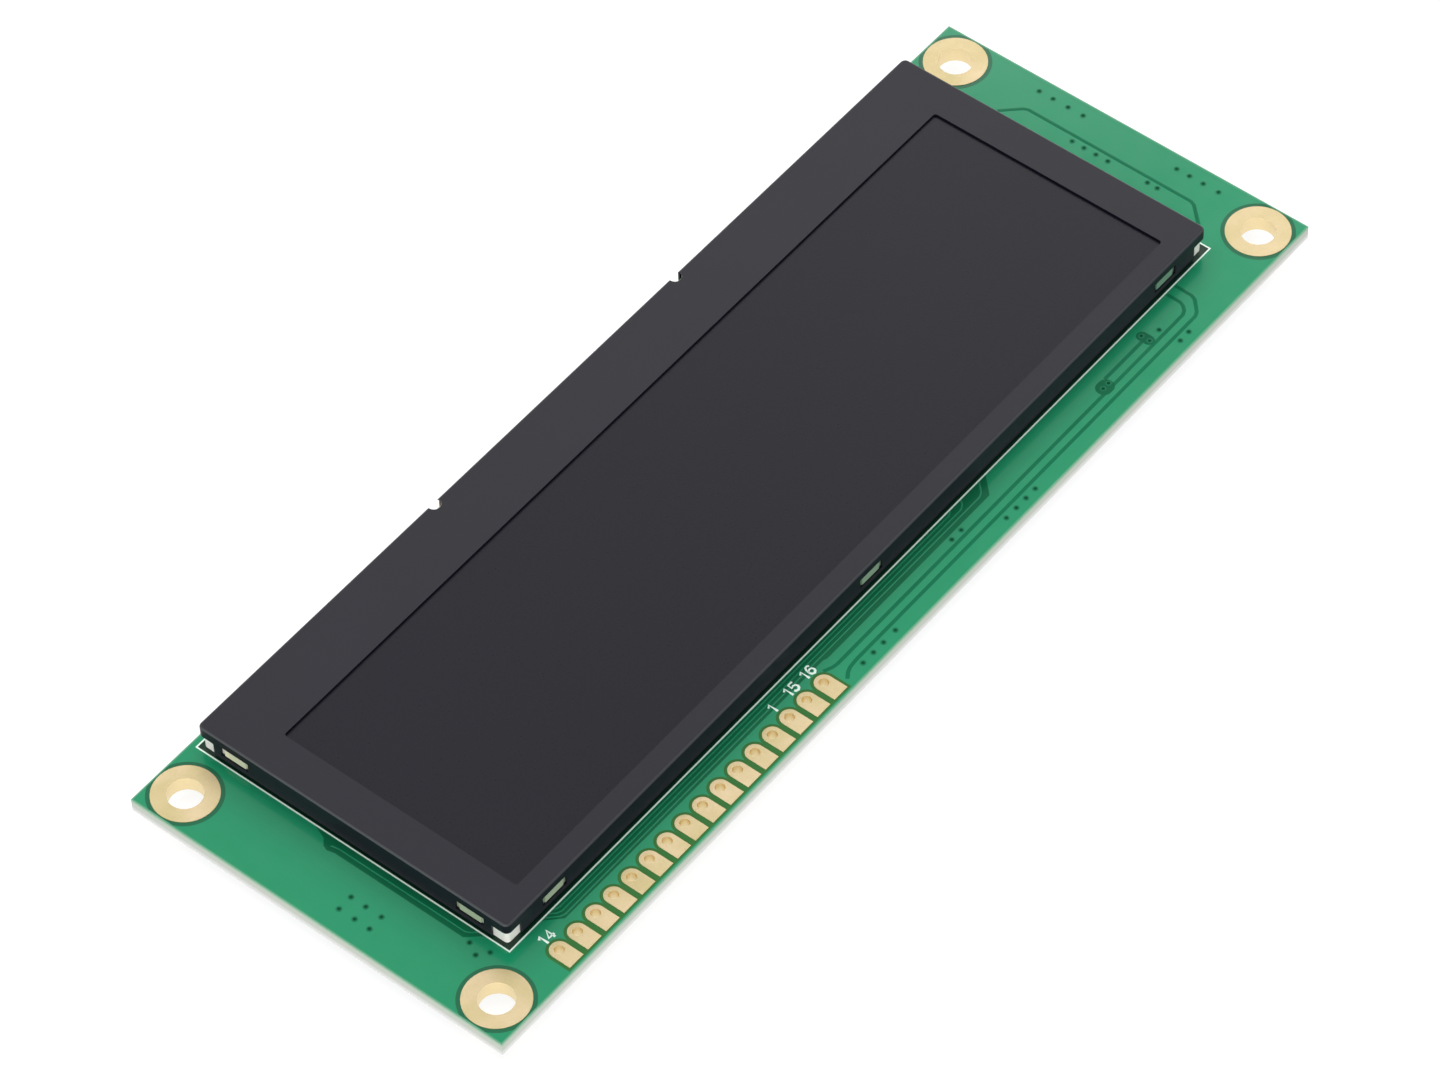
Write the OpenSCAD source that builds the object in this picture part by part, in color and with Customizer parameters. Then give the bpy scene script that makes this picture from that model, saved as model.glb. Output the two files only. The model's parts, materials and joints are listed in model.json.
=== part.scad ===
// TFT display module: a glass panel with its backlight, held by a folded steel bezel on a circuit board.
// Millimetres. X runs along the board, Y towards the edge where the flexible circuit leaves, Z out of the screen.
// The origin is the centre of the four mounting holes, on the rear face of the board.

/* [Circuit board] */
// Length of the board
board_w = 122; // [118:1:136]
// Width of the board
board_h = 44; // [43:0.5:52]
// Thickness of the board
board_t = 1.6; // [1:0.2:2.4]

/* [Mounting holes] */
// Clear diameter of each plated hole
hole_d = 3.5; // [2.5:0.1:4]
// Distance of each hole's centre from both edges of the board
hole_inset = 3.5; // [3.2:0.1:3.8]
// Diameter of the plated ring round each hole
ring_d = 6.5; // [5:0.1:7.3]
// Thickness of all plating
plate_t = 0.05; // [0.03:0.01:0.1]
// Bare strip kept between a ring and the board's edge
ring_edge = 0.05; // [0.05:0.05:0.3]

/* [Solder pads] */
// Number of pads in the row
pad_count = 16; // [8:1:20]
// Distance from pad to pad
pad_pitch = 2.54; // [2.2:0.02:2.6]
// Distance of the first pad from the end of the board
pad_start = 11; // [9:0.5:16]
// Width of each pad
pad_w = 1.9; // [1.6:0.1:2]
// Distance of the pad holes from the long edge
pad_hole_inset = 2.5; // [2.2:0.1:3]
// Bare strip kept between the pads and the long edge
pad_edge = 0.5; // [0.2:0.1:0.8]
// Clear diameter of the plated pad holes
pad_hole_d = 1; // [0.6:0.1:1.1]

/* [Bezel] */
// Board left free at each end of the bezel
end_margin = 8.4; // [8:0.1:12]
// Board left free along the pads
near_margin = 6.25; // [5.5:0.05:9]
// Board left free along the far edge
far_margin = 0.85; // [0.7:0.05:1.5]
// Thickness of the sheet
bezel_t = 0.2; // [0.15:0.05:0.3]
// Outer radius of the fold along the top edges
fold_r = 0.25; // [0.2:0.05:0.5]
// Outer radius of the upright corners
corner_r = 0.6; // [0.6:0.1:1.4]
// Gap between the walls and the board
foot_gap = 0.25; // [0.1:0.05:0.4]
// Top border between the window and each end
border_side = 4.1; // [3.8:0.1:7]
// Top border between the window and the wall by the pads
border_near = 2.3; // [2.1:0.1:4]
// Top border between the window and the far wall
border_far = 7; // [6.8:0.1:9]
// Radius of the window's corners
win_r = 0.3; // [0.1:0.05:0.5]

/* [Bezel cut-outs] */
// Length of the slots in the walls
slot_w = 3.3; // [2:0.1:4]
// Height of the slots in the walls
slot_h = 1.2; // [0.8:0.1:1.3]
// Height of the slots above the board
slot_rise = 0.85; // [0.7:0.05:1]
// Distance of the long-wall slots from the ends of the bezel
slot_inset_x = 6.6; // [5:0.1:10]
// Distance of the end-wall slots from the long walls
slot_inset_y = 4.45; // [4:0.05:8]
// Length of wall cut away at each lower corner
corner_cut = 1.9; // [1.2:0.05:2.2]
// Height above the board up to which the corners are open
corner_rise = 1.8; // [1.2:0.05:2]
// Distance between the two bites that end the far wall's opening
bite_span = 35.8; // [35:0.1:40]
// Radius of the bites
bite_r = 0.7; // [0.5:0.05:0.9]
// Distance of the bites' centres from the edge
bite_in = 0.2; // [0:0.05:0.3]

/* [Backlight] */
// Thickness of the tape between display and board
tape_t = 0.1; // [0.05:0.05:0.2]
// Width of the two tape strips
tape_w = 6; // [3:0.5:10]
// Thickness of the reflector film
reflector_t = 0.1; // [0.05:0.05:0.2]
// Thickness of the light guide
guide_t = 0.8; // [0.5:0.1:0.9]
// Thickness of each optical film
film_t = 0.1; // [0.08:0.01:0.15]
// Thickness of the tape under the glass
rim_tape_t = 0.2; // [0.05:0.05:0.25]
// Gap between the plastic frame and the bezel walls
frame_gap = 0.1; // [0.05:0.05:0.15]
// Width of the plastic frame's upper rim
rim_w = 1; // [0.8:0.05:1.1]
// Distance by which the frame's well reaches past the window
well_over = 0.4; // [0.3:0.05:0.5]
// Gap round the light guide and films in the well
well_gap = 0.1; // [0.05:0.05:0.15]
// Size of the frame's corner posts
post_w = 1.8; // [1.2:0.1:2]
// Gap above and below a lug in its slot
lug_gap = 0.1; // [0.05:0.05:0.2]
// Gap at each end of a lug in its slot
lug_side = 0.4; // [0.1:0.05:0.6]
// Distance of the lugs' tips inside the bezel's outer face
lug_set = 0.1; // [0.05:0.05:0.2]
// Number of light sources in the row
led_count = 12; // [6:1:16]
// Length of each light source
led_w = 3; // [2:0.1:3.8]
// Depth of each light source
led_d = 1; // [0.8:0.1:1.2]

/* [Panel] */
// Thickness of each glass sheet
glass_t = 0.5; // [0.4:0.05:0.6]
// Thickness of each polariser
polariser_t = 0.15; // [0.1:0.01:0.2]
// Gap between the panel's face and the bezel
face_gap = 0.05; // [0.05:0.05:0.2]
// Gap round the glass in the frame
glass_gap = 0.1; // [0.05:0.05:0.2]
// Distance by which the front glass reaches past the window on the far side
filter_past = 1.7; // [1.2:0.1:2]
// Length of the driver chip
driver_w = 24; // [16:1:30]
// Width of the driver chip
driver_d = 1.2; // [0.8:0.1:1.4]
// Thickness of the driver chip
driver_t = 0.3; // [0.2:0.05:0.4]

/* [Flexible circuit] */
// Width of the flexible circuit
flex_w = 33; // [28:0.5:33.5]
// Sideways position of the flexible circuit
flex_x = -1.5; // [-4:0.5:4]
// Thickness of the flexible circuit
flex_t = 0.12; // [0.08:0.01:0.2]
// Inner radius of its two bends
flex_r = 0.7; // [0.5:0.05:0.8]
// Width of its bond on the glass
bond_w = 1.2; // [0.8:0.1:1.4]
// Length that lies on the rear of the board
flex_lap = 4.3; // [3:0.1:5]
// Distance from the recess in the board's edge to the start of the bend
recess_gap = 0.25; // [0.1:0.05:0.5]
// Room beside the flexible circuit in the recess
recess_side = 1.5; // [0.5:0.1:2]
// Distance from solder joint to solder joint
joint_pitch = 0.8; // [0.7:0.05:1.2]
// Width of each solder joint
joint_w = 0.45; // [0.3:0.05:0.5]
// Length of each solder joint
joint_l = 1.2; // [0.8:0.1:1.5]

/* [Controller on the rear] */
// Distance of the controller from the end of the board without pads
ctrl_in = 41; // [36:0.5:45]
// Position of the controller across the board
ctrl_y = 0; // [-3:0.5:3]
// Side of the controller's body
ctrl_w = 7; // [6.5:0.1:8]
// Thickness of the controller's body
ctrl_t = 1.4; // [1:0.1:1.5]
// Leads on each side of the controller
ctrl_leads = 12; // [8:1:12]
// Distance from lead to lead
ctrl_pitch = 0.5; // [0.45:0.05:0.5]
// Width of each lead
ctrl_lead_w = 0.22; // [0.15:0.01:0.3]

/* [Memory on the rear] */
// Distance from the controller to the memory chip
mem_step = 18; // [15:0.5:21]
// Length of the memory chip
mem_w = 4.9; // [4.5:0.1:6]
// Width of the memory chip
mem_h = 3.9; // [3.5:0.1:5]
// Thickness of the memory chip
mem_t = 1.4; // [1:0.1:1.5]

/* [Power circuit on the rear] */
// Distance of the two regulators from the pads' end of the board
reg_in = 17; // [15:0.5:19]
// Distance between the two regulators
reg_span = 12; // [10:0.5:14]
// Length of each regulator
reg_w = 2.9; // [2.6:0.1:3.2]
// Width of each regulator
reg_h = 1.6; // [1.4:0.1:1.8]
// Thickness of each regulator
reg_t = 1; // [0.8:0.1:1.2]
// Distance from the regulators to the inductor
coil_step = 12; // [11:0.5:13]
// Side of the inductor
coil_w = 4; // [3:0.2:5]
// Height of the inductor
coil_t = 1.4; // [1:0.1:1.6]
// Distance from the inductor to the rectifier
diode_step = 8; // [7:0.5:9]
// Length of the rectifier's body
diode_w = 2.7; // [2.4:0.1:3]
// Width of the rectifier's body
diode_h = 1.6; // [1.4:0.1:1.8]
// Thickness of the rectifier's body
diode_t = 1; // [0.8:0.1:1.2]

/* [Small parts on the rear] */
// Length of the crystal's case
crystal_w = 3.2; // [2.5:0.1:3.6]
// Width of the crystal's case
crystal_h = 2.5; // [2:0.1:2.8]
// Height of the crystal's case
crystal_t = 0.8; // [0.6:0.1:1]
// Length of each capacitor
cap_l = 2; // [1.6:0.1:2.2]
// Width of each capacitor
cap_w = 1.25; // [0.8:0.05:1.4]
// Height of each capacitor
cap_t = 0.9; // [0.6:0.05:1.2]
// Length of each resistor
res_l = 1.6; // [1.2:0.1:1.8]
// Width of each resistor
res_w = 0.8; // [0.6:0.05:1]
// Height of each resistor
res_t = 0.45; // [0.35:0.05:0.6]
// Share of the length that each metal end cap takes
cap_share = 0.2; // [0.15:0.01:0.25]

/* [Hidden] */
$fn = 48;
cut = 1;

// heights of the stack, each on the one below
z_front = board_t;
z_reflector = z_front + tape_t;
z_guide = z_reflector + reflector_t;
z_diffuser = z_guide + guide_t;
z_lower_prism = z_diffuser + film_t;
z_upper_prism = z_lower_prism + film_t;
z_rim = z_upper_prism + film_t;
z_rear_pol = z_rim + rim_tape_t;
z_array = z_rear_pol + polariser_t;
z_filter = z_array + glass_t;
z_front_pol = z_filter + glass_t;
z_face = z_front_pol + polariser_t;
z_sheet = z_face + face_gap;
z_top = z_sheet + bezel_t;
z_foot = z_front + foot_gap;
z_slot = z_front + slot_rise;

// mounting holes and pads
hole_x = board_w / 2 - hole_inset;
hole_y = board_h / 2 - hole_inset;
pad_x = -board_w / 2 + pad_start;
pad_y = -board_h / 2 + pad_hole_inset;
pad_end = -board_h / 2 + pad_edge;

// bezel, its window and the space inside it
bezel_x = board_w / 2 - end_margin;
bezel_lo = -board_h / 2 + near_margin;
bezel_hi = board_h / 2 - far_margin;
win_x = bezel_x - border_side;
win_lo = bezel_lo + border_near;
win_hi = bezel_hi - border_far;
room_x = bezel_x - bezel_t;
room_lo = bezel_lo + bezel_t;
room_hi = bezel_hi - bezel_t;
slot_x = bezel_x - slot_inset_x;
slot_lo = bezel_lo + slot_inset_y;
slot_hi = bezel_hi - slot_inset_y;

// plastic frame, its pocket for the glass and its well for the light guide
frame_x = room_x - frame_gap;
frame_lo = room_lo + frame_gap;
frame_hi = room_hi - frame_gap;
pocket_x = frame_x - rim_w;
pocket_lo = frame_lo + rim_w;
pocket_hi = frame_hi - rim_w;
well_x = win_x + well_over;
well_lo = win_lo - well_over;
guide_past = 0.9;
guide_hi = win_hi + guide_past;
led_lo = guide_hi + well_gap;
well_hi = led_lo + led_d + well_gap;
step_w = 0.6;
step_hi = well_hi + step_w;
film_past = 0.4;
film_hi = win_hi + film_past;
led_end = 2;
led_pitch = 2 * (well_x - led_end) / led_count;

// panel
glass_x = pocket_x - glass_gap;
glass_lo = pocket_lo + glass_gap;
glass_hi = pocket_hi - glass_gap;
filter_hi = win_hi + filter_past;
polariser_in = 0.3;
bond_lo = glass_hi - bond_w;
driver_y = (filter_hi + bond_lo) / 2;

// flexible circuit
flex_a = flex_x - flex_w / 2;
flex_b = flex_x + flex_w / 2;
flex_room = 0.4;
flex_drop = 0.1;
bend_y = frame_hi;
recess_y = bend_y - recess_gap;
flex_end = recess_y - flex_lap;
joint_count = floor((flex_w - 2 * joint_w) / joint_pitch);

// parts on the rear
stand_off = 0.1;
lead_t = 0.15;
lead_reach = 1;
mark_r = 0.35;
mark_deep = 0.06;
ctrl_half = ctrl_w / 2 + lead_reach;
ctrl_x = board_w / 2 - ctrl_in;
mem_x = ctrl_x - mem_step;
reg_x = -board_w / 2 + reg_in;
coil_x = reg_x + coil_step;
diode_x = coil_x + diode_step;
part_gap = 1.2;
mem_lead_w = 0.42;
mem_pitch = 1.27;
reg_lead_w = 0.4;
reg_pitch = 0.95;
diode_lead_w = 0.9;
diode_lead_l = 0.6;
coil_foot_t = 0.1;
row_y = pad_y + pad_w / 2 + part_gap + 2 * res_l;
crystal_x = ctrl_x + ctrl_half + part_gap + cap_w + part_gap + crystal_h / 2;
supply_y = ctrl_y - coil_w / 2 - 2 * part_gap;
supply_step = res_l + 2 * part_gap;
bulk_x = (reg_x + coil_x) / 2;
bulk_y = cap_l / 2 + part_gap;
cap_row = flex_end - joint_l - 2 * part_gap - cap_w / 2;
cap_step = cap_l + 2 * part_gap;

// centre X, centre Y and turn of each capacitor
caps = [
    [ctrl_x, ctrl_y + ctrl_half + part_gap, 0],
    [ctrl_x, ctrl_y - ctrl_half - part_gap, 0],
    [ctrl_x + ctrl_half + part_gap, ctrl_y, 90],
    [ctrl_x - ctrl_half - part_gap, ctrl_y, 90],
    [mem_x, ctrl_y + mem_h / 2 + lead_reach + part_gap, 0],
    [crystal_x, ctrl_y + crystal_w / 2 + part_gap, 0],
    [crystal_x, ctrl_y - crystal_w / 2 - part_gap, 0],
    [coil_x, ctrl_y + coil_w / 2 + 2 * part_gap, 0],
    [diode_x, ctrl_y + diode_h / 2 + part_gap, 0],
    [bulk_x, ctrl_y + bulk_y, 90],
    [bulk_x, ctrl_y - bulk_y, 90],
    [flex_x - 2 * cap_step, cap_row, 0],
    [flex_x - cap_step, cap_row, 0],
    [flex_x + cap_step, cap_row, 0],
    [flex_x + 2 * cap_step, cap_row, 0]
];

// centre X, centre Y and turn of each resistor
resistors = [
    [pad_x + 1 * pad_pitch, row_y, 90],
    [pad_x + 2 * pad_pitch, row_y, 90],
    [pad_x + 3 * pad_pitch, row_y, 90],
    [pad_x + 4 * pad_pitch, row_y, 90],
    [pad_x + 5 * pad_pitch, row_y, 90],
    [pad_x + 6 * pad_pitch, row_y, 90],
    [pad_x + 7 * pad_pitch, row_y, 90],
    [pad_x + 8 * pad_pitch, row_y, 90],
    [diode_x, ctrl_y - diode_h / 2 - part_gap, 0],
    [mem_x, ctrl_y - mem_h / 2 - lead_reach - part_gap, 0],
    [coil_x, supply_y, 0],
    [coil_x + supply_step, supply_y, 0]
];

// block between two opposite corners
module block(x0, y0, z0, x1, y1, z1) {
    translate([x0, y0, z0])
        cube([x1 - x0, y1 - y0, z1 - z0]);
}

// flat rectangle with round corners between two opposite corners
module round_plate(x0, y0, x1, y1, r) {
    translate([x0 + r, y0])
        square([x1 - x0 - 2 * r, y1 - y0]);
    translate([x0, y0 + r])
        square([x1 - x0, y1 - y0 - 2 * r]);
    for (x = [x0 + r, x1 - r])
        for (y = [y0 + r, y1 - r])
            translate([x, y])
                circle(r);
}

// copies at the four mounting holes
module at_holes() {
    for (sx = [-1, 1])
        for (sy = [-1, 1])
            translate([sx * hole_x, sy * hole_y, 0])
                children();
}

// copies at the pads
module at_pads() {
    for (i = [0 : pad_count - 1])
        translate([pad_x + i * pad_pitch, pad_y, 0])
            children();
}

module circuit_board() {
    color("#1f7a54")
        difference() {
            block(-board_w / 2, -board_h / 2, 0, board_w / 2, board_h / 2, board_t);
            at_holes()
                translate([0, 0, -cut])
                    cylinder(d = hole_d + 2 * plate_t, h = board_t + 2 * cut);
            at_pads()
                translate([0, 0, -cut])
                    cylinder(d = pad_hole_d + 2 * plate_t, h = board_t + 2 * cut);
            block(flex_a - recess_side, recess_y, -cut, flex_b + recess_side, board_h / 2 + cut, board_t + cut);
        }
}

// one plated hole with a ring on both faces of the board
module plated_ring() {
    difference() {
        union() {
            translate([0, 0, -plate_t])
                cylinder(d = ring_d, h = plate_t);
            translate([0, 0, board_t])
                cylinder(d = ring_d, h = plate_t);
            translate([0, 0, -plate_t])
                cylinder(d = hole_d + 2 * plate_t, h = board_t + 2 * plate_t);
        }
        translate([0, 0, -cut])
            cylinder(d = hole_d, h = board_t + 2 * cut);
    }
}

module hole_rings() {
    edge_x = board_w / 2 - ring_edge;
    edge_y = board_h / 2 - ring_edge;
    color("#d9bd7a")
        intersection() {
            at_holes()
                plated_ring();
            block(-edge_x, -edge_y, -cut, edge_x, edge_y, board_t + cut);
        }
}

// outline of one pad: round towards the display, square towards the edge
module pad_outline() {
    circle(d = pad_w);
    translate([-pad_w / 2, pad_end - pad_y])
        square([pad_w, pad_y - pad_end]);
}

module edge_pads() {
    color("#d9bd7a")
        at_pads()
            difference() {
                union() {
                    translate([0, 0, -plate_t])
                        linear_extrude(plate_t)
                            pad_outline();
                    translate([0, 0, board_t])
                        linear_extrude(plate_t)
                            pad_outline();
                    translate([0, 0, -plate_t])
                        cylinder(d = pad_hole_d + 2 * plate_t, h = board_t + 2 * plate_t);
                }
                translate([0, 0, -cut])
                    cylinder(d = pad_hole_d, h = board_t + 2 * cut);
            }
}

// half section of a folded edge, with the round fold at its outer top corner
module fold_section(run) {
    high = z_top - z_foot;
    square([run - fold_r, high]);
    square([run, high - fold_r]);
    translate([run - fold_r, high - fold_r])
        circle(fold_r);
}

// solid outer form of the bezel: straight folded sides and round folded corners
module bezel_form() {
    in_x = bezel_x - corner_r;
    in_lo = bezel_lo + corner_r;
    in_hi = bezel_hi - corner_r;
    translate([0, 0, z_foot]) {
        block(-in_x, in_lo, 0, in_x, in_hi, z_top - z_foot);
        for (sx = [0, 1])
            mirror([sx, 0, 0]) {
                translate([in_x, in_hi, 0])
                    rotate([90, 0, 0])
                        linear_extrude(in_hi - in_lo)
                            fold_section(corner_r);
                translate([in_x, in_hi, 0])
                    rotate_extrude(angle = 90)
                        fold_section(corner_r);
                translate([in_x, in_lo, 0])
                    rotate([0, 0, -90])
                        rotate_extrude(angle = 90)
                            fold_section(corner_r);
            }
        translate([-in_x, in_hi, 0])
            rotate([90, 0, 90])
                linear_extrude(2 * in_x)
                    fold_section(corner_r);
        translate([in_x, in_lo, 0])
            rotate([90, 0, -90])
                linear_extrude(2 * in_x)
                    fold_section(corner_r);
    }
}

module front_bezel() {
    color("#2c2d2f")
        difference() {
            bezel_form();
            translate([0, 0, z_foot - cut])
                linear_extrude(z_sheet - z_foot + cut)
                    round_plate(-room_x, room_lo, room_x, room_hi, corner_r - bezel_t);
            translate([0, 0, z_sheet - cut])
                linear_extrude(bezel_t + 2 * cut)
                    round_plate(-win_x, win_lo, win_x, win_hi, win_r);
            wall_slots();
            corner_openings();
            far_opening();
        }
}

// slots that catch the frame's lugs
module wall_slots() {
    for (x = [-slot_x, 0, slot_x])
        block(x - slot_w / 2, bezel_lo - cut, z_slot, x + slot_w / 2, room_lo + cut, z_slot + slot_h);
    for (x = [-slot_x, slot_x])
        block(x - slot_w / 2, room_hi - cut, z_slot, x + slot_w / 2, bezel_hi + cut, z_slot + slot_h);
    for (y = [slot_lo, slot_hi]) {
        block(room_x - cut, y - slot_w / 2, z_slot, bezel_x + cut, y + slot_w / 2, z_slot + slot_h);
        block(-bezel_x - cut, y - slot_w / 2, z_slot, cut - room_x, y + slot_w / 2, z_slot + slot_h);
    }
}

// lower corners where the folded walls do not meet
module corner_openings() {
    top = z_front + corner_rise;
    for (sx = [0, 1])
        mirror([sx, 0, 0]) {
            block(bezel_x - corner_cut, bezel_hi - corner_cut, z_foot - cut, bezel_x + cut, bezel_hi + cut, top);
            block(bezel_x - corner_cut, bezel_lo - cut, z_foot - cut, bezel_x + cut, bezel_lo + corner_cut, top);
        }
}

// gap in the far wall for the flexible circuit, ended by two round bites
module far_opening() {
    half = bite_span / 2;
    block(flex_x - half, room_hi - cut, z_foot - cut, flex_x + half, bezel_hi + cut, z_sheet);
    for (s = [-half, half])
        translate([flex_x + s, bezel_hi - bite_in, z_foot - cut])
            cylinder(r = bite_r, h = z_top - z_foot + 2 * cut);
}

module front_polariser() {
    x = glass_x - polariser_in;
    color("#101114")
        block(-x, glass_lo + polariser_in, z_front_pol, x, filter_hi - polariser_in, z_face);
}

module colour_filter_glass() {
    color("#33403f")
        block(-glass_x, glass_lo, z_filter, glass_x, filter_hi, z_front_pol);
}

module array_glass() {
    color("#3b4a48")
        block(-glass_x, glass_lo, z_array, glass_x, glass_hi, z_filter);
}

module rear_polariser() {
    x = glass_x - polariser_in;
    color("#17181b")
        block(-x, glass_lo + polariser_in, z_rear_pol, x, filter_hi - polariser_in, z_array);
}

module driver_chip() {
    color("#26282b")
        block(flex_x - driver_w / 2, driver_y - driver_d / 2, z_filter,
              flex_x + driver_w / 2, driver_y + driver_d / 2, z_filter + driver_t);
}

module rim_tape() {
    inset = 0.2;
    color("#121212")
        difference() {
            block(-pocket_x + inset, pocket_lo + inset, z_rim, pocket_x - inset, step_hi - inset, z_rear_pol);
            block(-win_x - inset, win_lo - inset, z_rim - cut, win_x + inset, win_hi + inset, z_rear_pol + cut);
        }
}

// one optical film on the light guide
module film(z) {
    block(well_gap - well_x, well_lo + well_gap, z, well_x - well_gap, film_hi, z + film_t);
}

module upper_prism_film() {
    color("#dfe5e8")
        film(z_upper_prism);
}

module lower_prism_film() {
    color("#d3dadd")
        film(z_lower_prism);
}

module diffuser_film() {
    color("#f2f2ee")
        film(z_diffuser);
}

module light_guide() {
    color("#e8f1f2")
        block(well_gap - well_x, well_lo + well_gap, z_guide, well_x - well_gap, guide_hi, z_diffuser);
}

module reflector_film() {
    x = frame_x - post_w - well_gap;
    y_in = 0.5;
    color("#f7f7f5")
        block(-x, frame_lo + y_in, z_reflector, x, frame_hi - y_in, z_guide);
}

// one lug, standing out from a wall that faces +Y, with a sloped top
module lug() {
    w = slot_w - 2 * lug_side;
    out = frame_gap + bezel_t - lug_set;
    root = rim_w / 2;
    low = z_slot + lug_gap;
    high = z_slot + slot_h - lug_gap;
    translate([-w / 2, 0, 0])
        rotate([90, 0, 90])
            linear_extrude(w)
                polygon([[-root, low], [out, low], [out, high - out], [0, high], [-root, high]]);
}

module backlight_frame() {
    color("#efeadb") {
        difference() {
            translate([0, 0, z_guide])
                linear_extrude(z_sheet - z_guide)
                    round_plate(-frame_x, frame_lo, frame_x, frame_hi, corner_r - bezel_t);
            block(-well_x, well_lo, z_guide - cut, well_x, well_hi, z_sheet + cut);
            block(-pocket_x, pocket_lo, z_rim, pocket_x, step_hi, z_sheet + cut);
            block(-pocket_x, pocket_lo, z_array, pocket_x, pocket_hi, z_sheet + cut);
            block(flex_a - flex_room, pocket_hi - cut, z_filter - flex_drop,
                  flex_b + flex_room, frame_hi + cut, z_sheet + cut);
            far_bites();
        }
        frame_posts();
        frame_lugs();
    }
}

// room that the frame leaves behind the bezel's two bites
module far_bites() {
    for (s = [-1, 1])
        translate([flex_x + s * bite_span / 2, bezel_hi - bite_in, z_filter])
            cylinder(r = bite_r + frame_gap, h = z_top);
}

// corner posts that stand on the board
module frame_posts() {
    root = guide_t / 2;
    intersection() {
        translate([0, 0, z_front])
            linear_extrude(z_guide - z_front + root)
                round_plate(-frame_x, frame_lo, frame_x, frame_hi, corner_r - bezel_t);
        for (sx = [0, 1])
            mirror([sx, 0, 0]) {
                block(frame_x - post_w, frame_hi - post_w, 0, frame_x + cut, frame_hi + cut, z_top);
                block(frame_x - post_w, frame_lo - cut, 0, frame_x + cut, frame_lo + post_w, z_top);
            }
    }
}

// lugs in the bezel's wall slots
module frame_lugs() {
    for (x = [-slot_x, 0, slot_x])
        translate([x, frame_lo, 0])
            rotate([0, 0, 180])
                lug();
    for (x = [-slot_x, slot_x])
        translate([x, frame_hi, 0])
            lug();
    for (y = [slot_lo, slot_hi]) {
        translate([frame_x, y, 0])
            rotate([0, 0, -90])
                lug();
        translate([-frame_x, y, 0])
            rotate([0, 0, 90])
                lug();
    }
}

module backlight_leds() {
    color("#f4e7a1")
        for (i = [0 : led_count - 1])
            translate([(i - (led_count - 1) / 2) * led_pitch, 0, 0])
                block(-led_w / 2, led_lo, z_guide, led_w / 2, led_lo + led_d, z_diffuser);
}

module led_strip() {
    x = well_x - led_end / 2;
    color("#b8772e")
        block(-x, film_hi + well_gap, z_diffuser, x, well_hi - well_gap, z_diffuser + film_t);
}

// one quarter of a bend, inner radius flex_r
module quarter_bend() {
    intersection() {
        difference() {
            circle(flex_r + flex_t);
            circle(flex_r);
        }
        square(flex_r + flex_t);
    }
}

// side outline of the flexible circuit, Y to the right and Z up
module flex_outline() {
    high = z_filter - flex_r;
    translate([bond_lo, z_filter])
        square([bend_y - bond_lo, flex_t]);
    translate([bend_y, high])
        quarter_bend();
    translate([bend_y + flex_r, flex_r])
        square([flex_t, high - flex_r]);
    translate([bend_y, flex_r])
        mirror([0, 1])
            quarter_bend();
    translate([flex_end, -flex_t])
        square([bend_y - flex_end, flex_t]);
}

module display_flex() {
    color("#b06f2a")
        translate([flex_a, 0, 0])
            rotate([90, 0, 90])
                linear_extrude(flex_w)
                    flex_outline();
}

module mounting_tape() {
    x = frame_x - post_w - 1;
    lo = frame_lo + 1;
    hi = recess_y - 1;
    color("#d8d3c2") {
        block(-x, lo, z_front, x, lo + tape_w, z_reflector);
        block(-x, hi - tape_w, z_front, x, hi, z_reflector);
    }
}

module flex_joints() {
    thin = 0.03;
    color("#c9ccce")
        for (i = [0 : joint_count - 1])
            translate([flex_x + (i - (joint_count - 1) / 2) * joint_pitch - joint_w / 2, 0, 0])
                rotate([90, 0, 90])
                    linear_extrude(joint_w)
                        polygon([[flex_end, 0], [flex_end, -flex_t], [flex_end - joint_l, -thin],
                                 [flex_end - joint_l, 0]]);
}

// end view of a moulded chip body, widest at its mid height
module chip_section(w, t) {
    draft = t * 0.1;
    polygon([[-w / 2, t / 2], [draft - w / 2, 0], [w / 2 - draft, 0], [w / 2, t / 2],
             [w / 2 - draft, t], [draft - w / 2, t]]);
}

// moulded chip body below the board's rear face
module chip_body(x, y, w, h, t) {
    translate([x, y, -stand_off - t])
        intersection() {
            translate([0, h / 2, 0])
                rotate([90, 0, 0])
                    linear_extrude(h)
                        chip_section(w, t);
            translate([-w / 2, 0, 0])
                rotate([90, 0, 90])
                    linear_extrude(w)
                        chip_section(h, t);
        }
}

// round dimple in a chip body by its first lead
module first_mark(x, y, w, h, t) {
    translate([x - w / 2 + 3 * mark_r, y - h / 2 + 3 * mark_r, -stand_off - t - cut])
        cylinder(r = mark_r, h = cut + mark_deep);
}

// one bent lead that leaves a body's side towards +Y and stands on the rear face
module bent_lead(t, w) {
    mid = stand_off + t / 2;
    knee = lead_reach * 0.3;
    heel = lead_reach * 0.5;
    translate([-w / 2, 0, 0])
        rotate([90, 0, 90])
            linear_extrude(w)
                polygon([[0, -mid], [knee, -mid], [heel, 0], [lead_reach, 0], [lead_reach, -lead_t],
                         [heel + lead_t / 2, -lead_t], [knee + lead_t / 2, -mid - lead_t], [0, -mid - lead_t]]);
}

// row of leads along one side of a body, centred
module lead_row(count, pitch, t, w) {
    for (i = [0 : count - 1])
        translate([(i - (count - 1) / 2) * pitch, 0, 0])
            bent_lead(t, w);
}

module controller_chip() {
    color("#1b1c1e")
        difference() {
            chip_body(ctrl_x, ctrl_y, ctrl_w, ctrl_w, ctrl_t);
            first_mark(ctrl_x, ctrl_y, ctrl_w, ctrl_w, ctrl_t);
        }
}

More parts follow.
